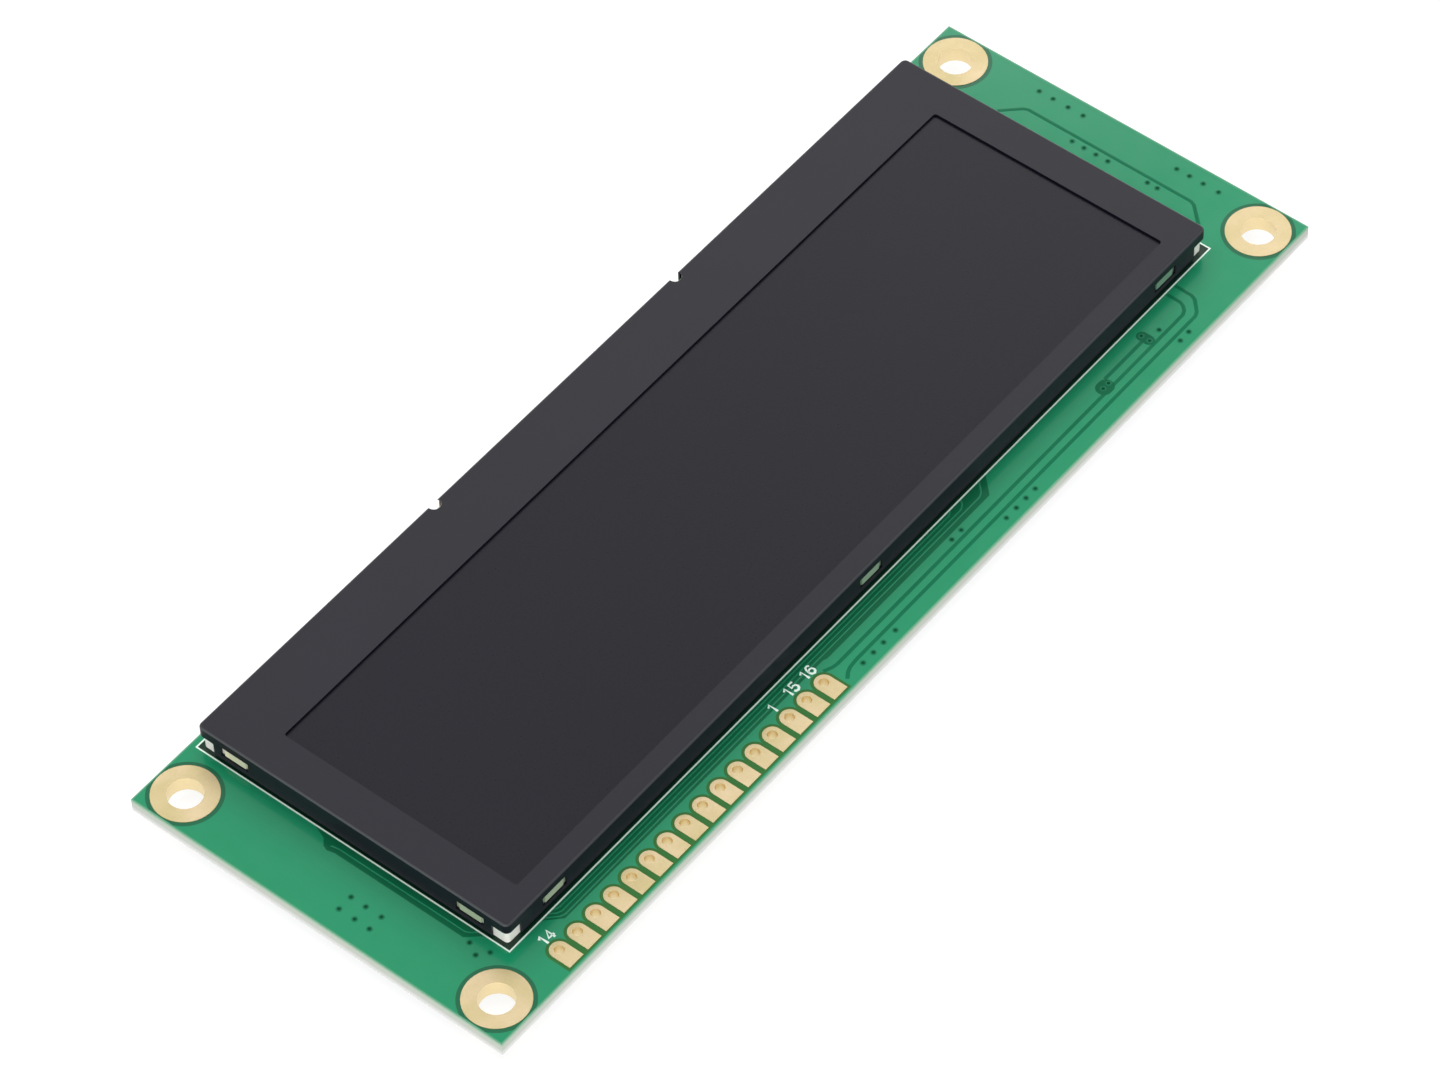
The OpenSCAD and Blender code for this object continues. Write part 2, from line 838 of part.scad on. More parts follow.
module controller_leads() {
    color("#c4c7c9")
        for (turn = [0, 90, 180, 270])
            translate([ctrl_x, ctrl_y, 0])
                rotate([0, 0, turn])
                    translate([0, ctrl_w / 2, 0])
                        lead_row(ctrl_leads, ctrl_pitch, ctrl_t, ctrl_lead_w);
}

module memory_chip() {
    color("#1b1c1e")
        difference() {
            chip_body(mem_x, ctrl_y, mem_w, mem_h, mem_t);
            first_mark(mem_x, ctrl_y, mem_w, mem_h, mem_t);
        }
}

module memory_leads() {
    color("#c4c7c9")
        for (turn = [0, 180])
            translate([mem_x, ctrl_y, 0])
                rotate([0, 0, turn])
                    translate([0, mem_h / 2, 0])
                        lead_row(4, mem_pitch, mem_t, mem_lead_w);
}

module regulators() {
    color("#1b1c1e")
        for (s = [-1, 1])
            chip_body(reg_x, ctrl_y + s * reg_span / 2, reg_w, reg_h, reg_t);
}

module regulator_leads() {
    color("#c4c7c9")
        for (s = [-1, 1])
            translate([reg_x, ctrl_y + s * reg_span / 2, 0]) {
                translate([0, reg_h / 2, 0])
                    lead_row(3, reg_pitch, reg_t, reg_lead_w);
                rotate([0, 0, 180])
                    translate([0, reg_h / 2, 0])
                        lead_row(2, 2 * reg_pitch, reg_t, reg_lead_w);
            }
}

module power_inductor() {
    color("#3a3b3d")
        translate([coil_x, ctrl_y, -coil_foot_t - coil_t])
            linear_extrude(coil_t)
                round_plate(-coil_w / 2, -coil_w / 2, coil_w / 2, coil_w / 2, 0.5);
}

module inductor_feet() {
    foot_w = coil_w * 0.3;
    color("#c4c7c9")
        for (s = [0, 1])
            translate([coil_x, ctrl_y, 0])
                mirror([s, 0, 0])
                    block(coil_w / 2 - foot_w, 0.5 - coil_w / 2, -coil_foot_t,
                          coil_w / 2 + 0.2, coil_w / 2 - 0.5, 0);
}

module rectifier() {
    color("#1b1c1e")
        chip_body(diode_x, ctrl_y, diode_w, diode_h, diode_t);
}

module rectifier_leads() {
    color("#c4c7c9")
        for (s = [0, 1])
            translate([diode_x, ctrl_y, 0])
                mirror([s, 0, 0])
                    block(diode_w / 2 - diode_lead_l, -diode_lead_w / 2, -stand_off,
                          diode_w / 2 + diode_lead_l, diode_lead_w / 2, 0);
}

module clock_crystal() {
    lid_in = 0.25;
    base_t = crystal_t * 0.6;
    color("#c8b98a")
        translate([crystal_x, ctrl_y, 0]) {
            block(-crystal_h / 2, -crystal_w / 2, -base_t, crystal_h / 2, crystal_w / 2, 0);
            block(lid_in - crystal_h / 2, lid_in - crystal_w / 2, -crystal_t,
                  crystal_h / 2 - lid_in, crystal_w / 2 - lid_in, -base_t);
        }
}

// middle of one two-ended part that lies on the rear face
module chip_middle(place, l, w, t) {
    mid = l * (0.5 - cap_share);
    translate([place[0], place[1], 0])
        rotate([0, 0, place[2]])
            block(-mid, -w / 2, -t, mid, w / 2, 0);
}

// both metal ends of one two-ended part
module chip_ends(place, l, w, t) {
    mid = l * (0.5 - cap_share);
    translate([place[0], place[1], 0])
        rotate([0, 0, place[2]])
            for (s = [0, 1])
                mirror([s, 0, 0])
                    block(mid, -w / 2, -t, l / 2, w / 2, 0);
}

module capacitor_bodies() {
    color("#b49a72")
        for (place = caps)
            chip_middle(place, cap_l, cap_w, cap_t);
}

module capacitor_ends() {
    color("#cfd1d2")
        for (place = caps)
            chip_ends(place, cap_l, cap_w, cap_t);
}

module resistor_bodies() {
    color("#222326")
        for (place = resistors)
            chip_middle(place, res_l, res_w, res_t);
}

module resistor_ends() {
    color("#cfd1d2")
        for (place = resistors)
            chip_ends(place, res_l, res_w, res_t);
}

circuit_board();
hole_rings();
edge_pads();
front_bezel();
front_polariser();
colour_filter_glass();
array_glass();
rear_polariser();
driver_chip();
rim_tape();
upper_prism_film();
lower_prism_film();
diffuser_film();
light_guide();
reflector_film();
backlight_frame();
backlight_leds();
led_strip();
display_flex();
mounting_tape();
flex_joints();
controller_chip();
controller_leads();
memory_chip();
memory_leads();
regulators();
regulator_leads();
power_inductor();
inductor_feet();
rectifier();
rectifier_leads();
clock_crystal();
capacitor_bodies();
capacitor_ends();
resistor_bodies();
resistor_ends();
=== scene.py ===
"""Looks for a bar-shaped TFT display module: a black bezel and panel on a green circuit board."""
import json
import math

import bpy
from mathutils import Matrix, Vector


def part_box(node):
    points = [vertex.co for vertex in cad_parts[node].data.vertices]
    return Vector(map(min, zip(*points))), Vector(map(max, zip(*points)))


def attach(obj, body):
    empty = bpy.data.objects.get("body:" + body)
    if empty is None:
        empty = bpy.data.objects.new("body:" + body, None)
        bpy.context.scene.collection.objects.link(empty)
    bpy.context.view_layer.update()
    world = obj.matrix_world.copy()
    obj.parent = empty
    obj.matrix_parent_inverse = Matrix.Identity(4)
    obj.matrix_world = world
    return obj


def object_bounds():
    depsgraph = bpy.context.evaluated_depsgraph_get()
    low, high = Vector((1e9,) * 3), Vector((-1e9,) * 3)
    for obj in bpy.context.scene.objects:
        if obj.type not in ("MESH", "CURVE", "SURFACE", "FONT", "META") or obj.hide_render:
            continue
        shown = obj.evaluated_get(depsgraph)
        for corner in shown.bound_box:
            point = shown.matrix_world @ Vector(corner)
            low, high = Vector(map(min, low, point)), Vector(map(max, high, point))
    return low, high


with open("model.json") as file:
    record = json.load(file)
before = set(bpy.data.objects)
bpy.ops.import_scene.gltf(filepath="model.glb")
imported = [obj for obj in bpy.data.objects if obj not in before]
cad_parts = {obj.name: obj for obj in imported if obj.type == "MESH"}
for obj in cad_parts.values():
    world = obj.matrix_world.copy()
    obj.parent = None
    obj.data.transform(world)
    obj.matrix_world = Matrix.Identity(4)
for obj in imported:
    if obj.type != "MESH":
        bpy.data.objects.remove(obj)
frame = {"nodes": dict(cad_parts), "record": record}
cad_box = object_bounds()
nodes = frame["nodes"]

MM = 0.001
BODY = "root"
UP = 1
DOWN = -1
# share of a normal from which a face counts as looking straight out
FACING = 0.9
# decimals of a millimetre to which corners count as one
MATCH_DIGITS = 3

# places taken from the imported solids
board_low, board_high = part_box("circuit_board")
FRONT = board_high.z
REAR = board_low.z
FACE_OF = {UP: FRONT, DOWN: REAR}
LOWEST = cad_box[0][2]

# mounting holes and solder pads, in millimetres, as the solids have them
HOLE_X = 57.5
HOLE_Y = 18.5
RING_R = 3.25
PAD_FIRST = -50.0
PAD_PITCH = 2.54
PAD_COUNT = 16
PAD_Y = -19.5
PAD_W = 1.9

# printed outline round the display
OUTLINE_X = 52.94
OUTLINE_LOW = -16.18
OUTLINE_HIGH = 21.34


# selecting and joining

def clear_selection():
    if bpy.context.object and bpy.context.object.mode != "OBJECT":
        bpy.ops.object.mode_set(mode="OBJECT")
    bpy.ops.object.select_all(action="DESELECT")


def make_active(piece):
    clear_selection()
    piece.select_set(True)
    bpy.context.view_layer.objects.active = piece


def edit():
    bpy.ops.object.mode_set(mode="EDIT")


def leave_edit():
    bpy.ops.object.mode_set(mode="OBJECT")


def select_all_parts():
    bpy.ops.mesh.select_all(action="SELECT")


def apply_place(piece):
    """Moves a piece's place, turn and size into its mesh."""
    make_active(piece)
    bpy.ops.object.transform_apply(location=True, rotation=True, scale=True)


def unselect_mesh(mesh):
    for group in (mesh.vertices, mesh.edges, mesh.polygons):
        for item in group:
            item.select = False


def pick_faces(piece, test):
    """Selects, in edit mode, the faces whose centre and normal pass a test."""
    leave_edit()
    unselect_mesh(piece.data)
    for face in piece.data.polygons:
        face.select = test(face.center, face.normal)
    edit()
    bpy.ops.mesh.select_mode(type="FACE")


def pull(way):
    """Extrudes what is selected in edit mode along a way in space."""
    bpy.ops.mesh.extrude_region_move(TRANSFORM_OT_translate={"value": way})


def close_edit():
    """Turns all faces outwards and leaves edit mode."""
    select_all_parts()
    bpy.ops.mesh.normals_make_consistent(inside=False)
    leave_edit()


def join(pieces, name):
    clear_selection()
    for piece in pieces:
        piece.select_set(True)
    bpy.context.view_layer.objects.active = pieces[0]
    if len(pieces) > 1:
        bpy.ops.object.join()
    whole = bpy.context.view_layer.objects.active
    whole.name = name
    whole.data.name = name
    return whole


def copy_of(piece):
    """Copy of a piece with a mesh of its own."""
    make_active(piece)
    bpy.ops.object.duplicate(linked=False)
    return bpy.context.view_layer.objects.active


def copies(piece, places, name):
    """Joined copies of a piece, one for each place, turn and size; the model itself is removed."""
    made = []
    for place, turn, size in places:
        one = copy_of(piece)
        one.location = place
        one.rotation_euler = (0.0, 0.0, turn)
        one.scale = size
        apply_place(one)
        made.append(one)
    bpy.data.objects.remove(piece)
    return join(made, name)


def hand_over(piece, slot, *materials):
    """Puts a finished piece on the part: its finishes and the body it rides on. The slot is not
    used.
    """
    piece.data.materials.clear()
    for material in materials:
        piece.data.materials.append(material)
    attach(piece, BODY)


def solid_boxes(node):
    """Lowest and highest corner of each separate solid of a node, in millimetres."""
    mesh = nodes[node].data
    owner = {}
    groups = []
    for face in mesh.polygons:
        keys = [tuple(round(v / MM, MATCH_DIGITS) for v in mesh.vertices[i].co)
                for i in face.vertices]
        met = {owner[key] for key in keys if key in owner}
        home = min(met) if met else len(groups)
        if not met:
            groups.append([])
        for other in met - {home}:
            for key in groups[other]:
                owner[key] = home
            groups[home] += groups[other]
            groups[other] = []
        for key in keys:
            if key not in owner:
                owner[key] = home
                groups[home].append(key)
    return [(Vector(map(min, *group)), Vector(map(max, *group))) for group in groups if group]


# shader building blocks

NOISE_LOW = 0.3
NOISE_HIGH = 0.7
DRIFT_DETAIL = 4.0
GRAIN_DETAIL = 3.0
SIDE_LEAN = 0.5
WHITE = (1.0, 1.0, 1.0, 1.0)
COLOUR = "NodeSocketColor"
NUMBER = "NodeSocketFloat"
# sockets of a mix node that are in use for colours: share, first and second, and the result
MIX_IN = (0, 6, 7)
MIX_OUT = 2


def linear(red, green, blue):
    """Linear colour of a colour written as 8-bit screen values, by the sRGB curve."""
    def one(v):
        v /= 255.0
        return v / 12.92 if v <= 0.04045 else ((v + 0.055) / 1.055) ** 2.4
    return (one(red), one(green), one(blue), 1.0)


def add(tree, kind, **settings):
    node = tree.nodes.new(kind)
    for key, value in settings.items():
        setattr(node, key, value)
    return node


def feed(tree, socket, value):
    """Links a socket to another, or sets it to a plain value."""
    if isinstance(value, bpy.types.NodeSocket):
        tree.links.new(value, socket)
    else:
        socket.default_value = value


def set_input(node, label, value):
    node.inputs[label].default_value = value


def maths(tree, operation, *values):
    node = add(tree, "ShaderNodeMath", operation=operation)
    for socket, value in zip(node.inputs, values):
        feed(tree, socket, value)
    return node.outputs[0]


def mix_colour(tree, share, first, second):
    node = add(tree, "ShaderNodeMix", data_type="RGBA")
    for index, value in zip(MIX_IN, (share, first, second)):
        feed(tree, node.inputs[index], value)
    return node.outputs[MIX_OUT]


def remap(tree, value, low, high, to_low=0.0, to_high=1.0):
    node = add(tree, "ShaderNodeMapRange")
    for index, number in enumerate((value, low, high, to_low, to_high)):
        feed(tree, node.inputs[index], number)
    return node.outputs[0]


def split_axes(tree, vector):
    node = add(tree, "ShaderNodeSeparateXYZ")
    tree.links.new(vector, node.inputs[0])
    return node.outputs


def new_group(name, inputs, outputs):
    group = bpy.data.node_groups.new(name, "ShaderNodeTree")
    for label, kind in inputs:
        group.interface.new_socket(name=label, in_out="INPUT", socket_type=kind)
    for label, kind in outputs:
        group.interface.new_socket(name=label, in_out="OUTPUT", socket_type=kind)
    return group, group.nodes.new("NodeGroupInput"), group.nodes.new("NodeGroupOutput")


def noise_in(group, inside, detail):
    """Noise on Object coordinates at the group's own scale."""
    place = add(group, "ShaderNodeTexCoord")
    noise = add(group, "ShaderNodeTexNoise")
    set_input(noise, "Detail", detail)
    group.links.new(place.outputs["Object"], noise.inputs["Vector"])
    group.links.new(inside.outputs["Scale"], noise.inputs["Scale"])
    return noise.outputs[0]


def build_tone_drift():
    """Slow change between two tones over a surface."""
    group, inside, out = new_group(
        "tone_drift", [("Tone", COLOUR), ("Second Tone", COLOUR), ("Scale", NUMBER)],
        [("Color", COLOUR)])
    share = remap(group, noise_in(group, inside, DRIFT_DETAIL), NOISE_LOW, NOISE_HIGH)
    colour = mix_colour(group, share, inside.outputs["Tone"], inside.outputs["Second Tone"])
    group.links.new(colour, out.inputs["Color"])
    return group


def build_fine_grain():
    """Fine unevenness: a height for bump and a roughness that follows it."""
    group, inside, out = new_group(
        "fine_grain", [("Scale", NUMBER), ("Smoothest", NUMBER), ("Roughest", NUMBER)],
        [("Height", NUMBER), ("Roughness", NUMBER)])
    height = noise_in(group, inside, GRAIN_DETAIL)
    rough = remap(group, height, NOISE_LOW, NOISE_HIGH, inside.outputs["Smoothest"],
                  inside.outputs["Roughest"])
    group.links.new(height, out.inputs["Height"])
    group.links.new(rough, out.inputs["Roughness"])
    return group


def build_specks():
    """Sparse small specks, as of dust or pits."""
    group, inside, out = new_group(
        "specks", [("Scale", NUMBER), ("Size", NUMBER), ("Share", NUMBER)], [("Mask", NUMBER)])
    place = add(group, "ShaderNodeTexCoord")
    cells = add(group, "ShaderNodeTexVoronoi")
    group.links.new(place.outputs["Object"], cells.inputs["Vector"])
    group.links.new(inside.outputs["Scale"], cells.inputs["Scale"])
    dot = maths(group, "LESS_THAN", cells.outputs["Distance"], inside.outputs["Size"])
    chance = add(group, "ShaderNodeSeparateColor")
    group.links.new(cells.outputs["Color"], chance.inputs[0])
    some = maths(group, "LESS_THAN", chance.outputs[0], inside.outputs["Share"])
    group.links.new(maths(group, "MULTIPLY", dot, some), out.inputs["Mask"])
    return group


tone_drift = build_tone_drift()
fine_grain = build_fine_grain()
specks = build_specks()


def use_group(tree, group, **values):
    node = add(tree, "ShaderNodeGroup")
    node.node_tree = group
    for label, value in values.items():
        set_input(node, label.replace("_", " "), value)
    return node.outputs


class Finish:
    """A finish: a tone that drifts, and a gloss and a slight bump that follow a fine grain."""

    def __init__(self, name, tone, second, drift, grain, gloss, bump=0.1, depth=0.01, metallic=0.0,
                 ior=1.45):
        self.material = bpy.data.materials.new(name)
        self.material.use_nodes = True
        self.tree = self.material.node_tree
        self.shader = self.tree.nodes["Principled BSDF"]
        set_input(self.shader, "Metallic", metallic)
        set_input(self.shader, "IOR", ior)
        tones = use_group(self.tree, tone_drift, Tone=tone, Second_Tone=second, Scale=drift)
        self.colour = tones["Color"]
        smoothest, roughest = gloss
        self.grain = use_group(self.tree, fine_grain, Scale=grain, Smoothest=smoothest,
                               Roughest=roughest)
        self.bump = add(self.tree, "ShaderNodeBump")
        set_input(self.bump, "Strength", bump)
        set_input(self.bump, "Distance", depth * MM)
        self.tree.links.new(self.grain["Height"], self.bump.inputs["Height"])
        self.link(self.colour, "Base Color")
        self.link(self.grain["Roughness"], "Roughness")
        self.link(self.bump.outputs[0], "Normal")

    def link(self, output, label):
        self.tree.links.new(output, self.shader.inputs[label])

    def lay_over(self, share, colour):
        """Lays another colour over the tone where a mask says so."""
        self.colour = mix_colour(self.tree, share, self.colour, colour)
        self.link(self.colour, "Base Color")

    def place(self):
        return add(self.tree, "ShaderNodeTexCoord").outputs

    def sideways(self, place):
        """Mask of the faces that look along the board and not out of it."""
        lean = maths(self.tree, "ABSOLUTE", split_axes(self.tree, place["Normal"])[2])
        return maths(self.tree, "LESS_THAN", lean, SIDE_LEAN)


# finishes of the board

MASK_TONE = linear(25, 145, 101)
MASK_SECOND = linear(22, 140, 96)
BARE_TONE = linear(13, 100, 66)
OLIVE_TONE = linear(38, 106, 38)
# painted shade inside the display outline, darker than bare laminate
UNDER_DISPLAY_SHADE = linear(10, 46, 30)
# painted highlight along the board's edges
EDGE_HIGHLIGHT = linear(98, 162, 128)
LAMINATE_LOW = linear(222, 226, 216)
LAMINATE_HIGH = linear(215, 224, 211)
# painted highlight on the lower part of the cut edges
LAMINATE_FOOT_HIGHLIGHT = linear(250, 251, 248)
LAMINATE_RIM = linear(156, 206, 172)
GOLD_TONE = linear(167, 151, 122)
GOLD_SECOND = linear(153, 141, 104)
# paler gold down the hole barrels: painted light against the shade in the holes
GOLD_BARREL_LIGHT = linear(241, 221, 174)
BARREL_SHINE = 0.1
LACQUER_GRAIN = 500.0
LACQUER_GLOSS = (0.13, 0.18)
LACQUER_BUMP = 0.04
WEAVE_SCALE = 3000.0
CUT_ROUGHNESS = 0.8
CLEARANCE = 0.42
PAD_CLEARANCE = 0.32
PAD_END = -21.72
EDGE_W = 0.14
FOOT_START = 0.25
FOOT_END = 0.7
RIM_START = 1.15
RIM_END = 1.55


def mask_round_holes(tree, axes):
    """Mask of the bare clearance round each plated hole."""
    away_x = maths(tree, "SUBTRACT", maths(tree, "ABSOLUTE", axes[0]), HOLE_X * MM)
    away_y = maths(tree, "SUBTRACT", maths(tree, "ABSOLUTE", axes[1]), HOLE_Y * MM)
    square = maths(tree, "ADD", maths(tree, "MULTIPLY", away_x, away_x),
                   maths(tree, "MULTIPLY", away_y, away_y))
    return maths(tree, "LESS_THAN", maths(tree, "SQRT", square), (RING_R + CLEARANCE) * MM)


def mask_round_pads(tree, axes):
    """Mask of the bare clearance round each pad of the row."""
    half_pitch = PAD_PITCH / 2 * MM
    reach = (PAD_W / 2 + PAD_CLEARANCE) * MM
    along = maths(tree, "SUBTRACT", axes[0], PAD_FIRST * MM)
    across = maths(tree, "WRAP", along, half_pitch, -half_pitch)
    beyond = maths(tree, "MAXIMUM", maths(tree, "SUBTRACT", axes[1], PAD_Y * MM), 0.0)
    square = maths(tree, "ADD", maths(tree, "MULTIPLY", across, across),
                   maths(tree, "MULTIPLY", beyond, beyond))
    near = maths(tree, "LESS_THAN", maths(tree, "SQRT", square), reach)
    half_row = (PAD_COUNT - 1) / 2 * PAD_PITCH * MM
    from_middle = maths(tree, "ABSOLUTE", maths(tree, "SUBTRACT", along, half_row))
    in_row = maths(tree, "LESS_THAN", from_middle, half_row + reach)
    short = maths(tree, "GREATER_THAN", axes[1], PAD_END * MM)
    return maths(tree, "MULTIPLY", maths(tree, "MULTIPLY", near, in_row), short)


def mask_display_shade(tree, axes):
    """Mask of the front of the board inside the printed outline, where the copper stops; the tone
    laid there, darker than bare laminate, is painted shade under and beside the bezel.
    """
    across = maths(tree, "LESS_THAN", maths(tree, "ABSOLUTE", axes[0]), OUTLINE_X * MM)
    from_middle = maths(tree, "SUBTRACT", axes[1], (OUTLINE_LOW + OUTLINE_HIGH) / 2 * MM)
    reach = (OUTLINE_HIGH - OUTLINE_LOW) / 2 * MM
    along = maths(tree, "LESS_THAN", maths(tree, "ABSOLUTE", from_middle), reach)
    in_front = maths(tree, "GREATER_THAN", axes[2], (FRONT + REAR) / 2)
    return maths(tree, "MULTIPLY", maths(tree, "MULTIPLY", across, along), in_front)


def mask_edge_highlight(tree, axes):
    """Mask of the lacquer's thin rim along the board's edges, where a painted highlight is laid."""
    rims = [maths(tree, "GREATER_THAN", maths(tree, "ABSOLUTE", axis), reach - EDGE_W * MM)
            for axis, reach in zip(axes, board_high.xy)]
    return maths(tree, "MAXIMUM", *rims)


def make_solder_mask():
    """Green lacquer over copper, darker where there is none; painted shade inside the display
    outline and a painted highlight along the board's edges; laminate at the cut edges with a
    painted highlight towards its foot.
    """
    finish = Finish("solder_mask", MASK_TONE, MASK_SECOND, drift=35.0, grain=LACQUER_GRAIN,
                    gloss=LACQUER_GLOSS, bump=LACQUER_BUMP, ior=1.38)
    tree = finish.tree
    place = finish.place()
    axes = split_axes(tree, place["Object"])
    finish.lay_over(mask_round_holes(tree, axes), BARE_TONE)
    finish.lay_over(mask_round_pads(tree, axes), OLIVE_TONE)
    # painted shade under and beside the bezel
    finish.lay_over(mask_display_shade(tree, axes), UNDER_DISPLAY_SHADE)
    # painted highlight on the lacquer's rim at the board's edges
    finish.lay_over(mask_edge_highlight(tree, axes), EDGE_HIGHLIGHT)
    side = finish.sideways(place)
    weave = add(tree, "ShaderNodeTexNoise")
    set_input(weave, "Scale", WEAVE_SCALE)
    tree.links.new(place["Object"], weave.inputs["Vector"])
    threads = remap(tree, weave.outputs[0], NOISE_LOW, NOISE_HIGH)
    laminate = mix_colour(tree, threads, LAMINATE_LOW, LAMINATE_HIGH)
    # laminate painted paler towards its foot as a painted highlight
    foot = remap(tree, axes[2], FOOT_START * MM, FOOT_END * MM)
    laminate = mix_colour(tree, foot, LAMINATE_FOOT_HIGHLIGHT, laminate)
    rim = remap(tree, axes[2], RIM_START * MM, RIM_END * MM)
    finish.lay_over(side, mix_colour(tree, rim, laminate, LAMINATE_RIM))
    dull = maths(tree, "MULTIPLY", side, CUT_ROUGHNESS)
    finish.link(maths(tree, "MAXIMUM", finish.grain["Roughness"], dull), "Roughness")
    return finish.material


def make_gold_plating():
    """Satin gold plating, painted paler down the barrels of the holes as painted light against the
    shade inside them.
    """
    finish = Finish("gold_plating", GOLD_TONE, GOLD_SECOND, drift=260.0, grain=5000.0,
                    gloss=(0.4, 0.52), bump=0.12, depth=0.006, metallic=1.0)
    side = finish.sideways(finish.place())
    # painted light down the barrels
    finish.lay_over(side, GOLD_BARREL_LIGHT)
    shine = maths(finish.tree, "MULTIPLY", side, BARREL_SHINE)
    finish.link(maths(finish.tree, "SUBTRACT", finish.grain["Roughness"], shine), "Roughness")
    return finish.material


# finishes of the display

PAINT_TONE = linear(18, 17, 28)
PAINT_SECOND = linear(21, 20, 31)
PAINT_SPECK = linear(58, 59, 62)
# painted highlight along the bezel's folds
PAINT_FOLD_HIGHLIGHT = linear(88, 90, 92)
SPECK_SCALE = 2600.0
SPECK_SIZE = 0.12
SPECK_SHARE = 0.05
SPECK_COVER = 0.2
FOLD_LEAN = 0.6
FOLD_SPAN = 0.36
FOLD_LEAST = 0.38
POST_TONE = linear(246, 245, 240)
POST_SECOND = linear(240, 238, 230)
# frame walls: cream, fading into painted shade with a painted green reflection of the board
WALL_CREAM = linear(235, 231, 199)
WALL_SHADE = linear(109, 145, 122)
WALL_START = -70.0
WALL_END = 62.0
WALL_FADE = 0.3
POST_X = 49.5
POST_Y = 15.3
POST_MIDDLE_Y = 2.7
AMBER_TONE = linear(168, 98, 30)
AMBER_SECOND = linear(150, 84, 24)
AMBER_LINE = linear(196, 128, 60)
FLEX_LINES = 393.0
COPPER_START = 0.55
COPPER_END = 0.75
COPPER_COVER = 0.7


def make_black_paint():
    """Satin black paint with a faint speckle, and a painted highlight along the folds, strongest at
    the two ends.
    """
    finish = Finish("black_paint", PAINT_TONE, PAINT_SECOND, drift=80.0, grain=7000.0,
                    gloss=(0.36, 0.44), bump=0.12, depth=0.006, ior=1.278)
    tree = finish.tree
    dots = use_group(tree, specks, Scale=SPECK_SCALE, Size=SPECK_SIZE, Share=SPECK_SHARE)["Mask"]
    finish.lay_over(maths(tree, "MULTIPLY", dots, SPECK_COVER), PAINT_SPECK)
    normal = split_axes(tree, finish.place()["Normal"])
    # painted highlight on the folds, strongest on those that face the two ends
    fold_highlight = maths(tree, "COMPARE", normal[2], FOLD_LEAN, FOLD_SPAN)
    highlight_strength = maths(tree, "MAXIMUM", maths(tree, "ABSOLUTE", normal[0]), FOLD_LEAST)
    finish.lay_over(maths(tree, "MULTIPLY", fold_highlight, highlight_strength), PAINT_FOLD_HIGHLIGHT)
    return finish.material


def make_amber_film():
    """Amber polymer film with copper lines under it."""
    finish = Finish("amber_film", AMBER_TONE, AMBER_SECOND, drift=120.0, grain=1500.0,
                    gloss=(0.25, 0.4))
    tree = finish.tree
    lines = add(tree, "ShaderNodeTexWave", bands_direction="X")
    set_input(lines, "Scale", FLEX_LINES)
    tree.links.new(finish.place()["Object"], lines.inputs["Vector"])
    copper = remap(tree, lines.outputs["Fac"], COPPER_START, COPPER_END, 0.0, COPPER_COVER)
    finish.lay_over(copper, AMBER_LINE)
    return finish.material


def make_white_plastic():
    """Moulded plastic: cream walls that fade from one corner on into painted shade with a painted
    green reflection of the board, and white corner posts.
    """
    finish = Finish("white_plastic", POST_TONE, POST_SECOND, drift=250.0, grain=2500.0,
                    gloss=(0.3, 0.42), bump=0.2)
    tree = finish.tree
    axes = split_axes(tree, finish.place()["Object"])
    from_middle = maths(tree, "ABSOLUTE", axes[0])
    along = maths(tree, "GREATER_THAN", from_middle, POST_X * MM)
    off_centre = maths(tree, "ABSOLUTE", maths(tree, "SUBTRACT", axes[1], POST_MIDDLE_Y * MM))
    across = maths(tree, "GREATER_THAN", off_centre, POST_Y * MM)
    wall = maths(tree, "SUBTRACT", 1.0, maths(tree, "MULTIPLY", along, across))
    # painted shade that deepens from one corner of the frame to the other
    slant = maths(tree, "SUBTRACT", axes[0], axes[1])
    wall_shade = maths(tree, "POWER", remap(tree, slant, WALL_START * MM, WALL_END * MM), WALL_FADE)
    finish.lay_over(wall, mix_colour(tree, wall_shade, WALL_CREAM, WALL_SHADE))
    return finish.material


def make_clear(name, tone, second, gloss, see_through):
    """Clear sheet: glass or acrylic."""
    finish = Finish(name, linear(*tone), linear(*second), drift=40.0, grain=800.0, gloss=gloss,
                    bump=0.02, depth=0.002, ior=1.5)
    set_input(finish.shader, "Transmission Weight", see_through)
    return finish.material


def plain(name, tone, second, drift, grain, gloss, **more):
    return Finish(name, linear(*tone), linear(*second), drift, grain, gloss, **more).material


FINISHES = {
    "solder_mask": make_solder_mask(),
    "gold_plating": make_gold_plating(),
    "black_paint": make_black_paint(),
    "amber_film": make_amber_film(),
    "white_plastic": make_white_plastic(),
    "panel_glass": make_clear("panel_glass", (206, 224, 218), (196, 216, 210), (0.02, 0.05), 1.0),
    "acrylic": make_clear("acrylic", (232, 242, 244), (224, 238, 240), (0.05, 0.1), 0.9),
}
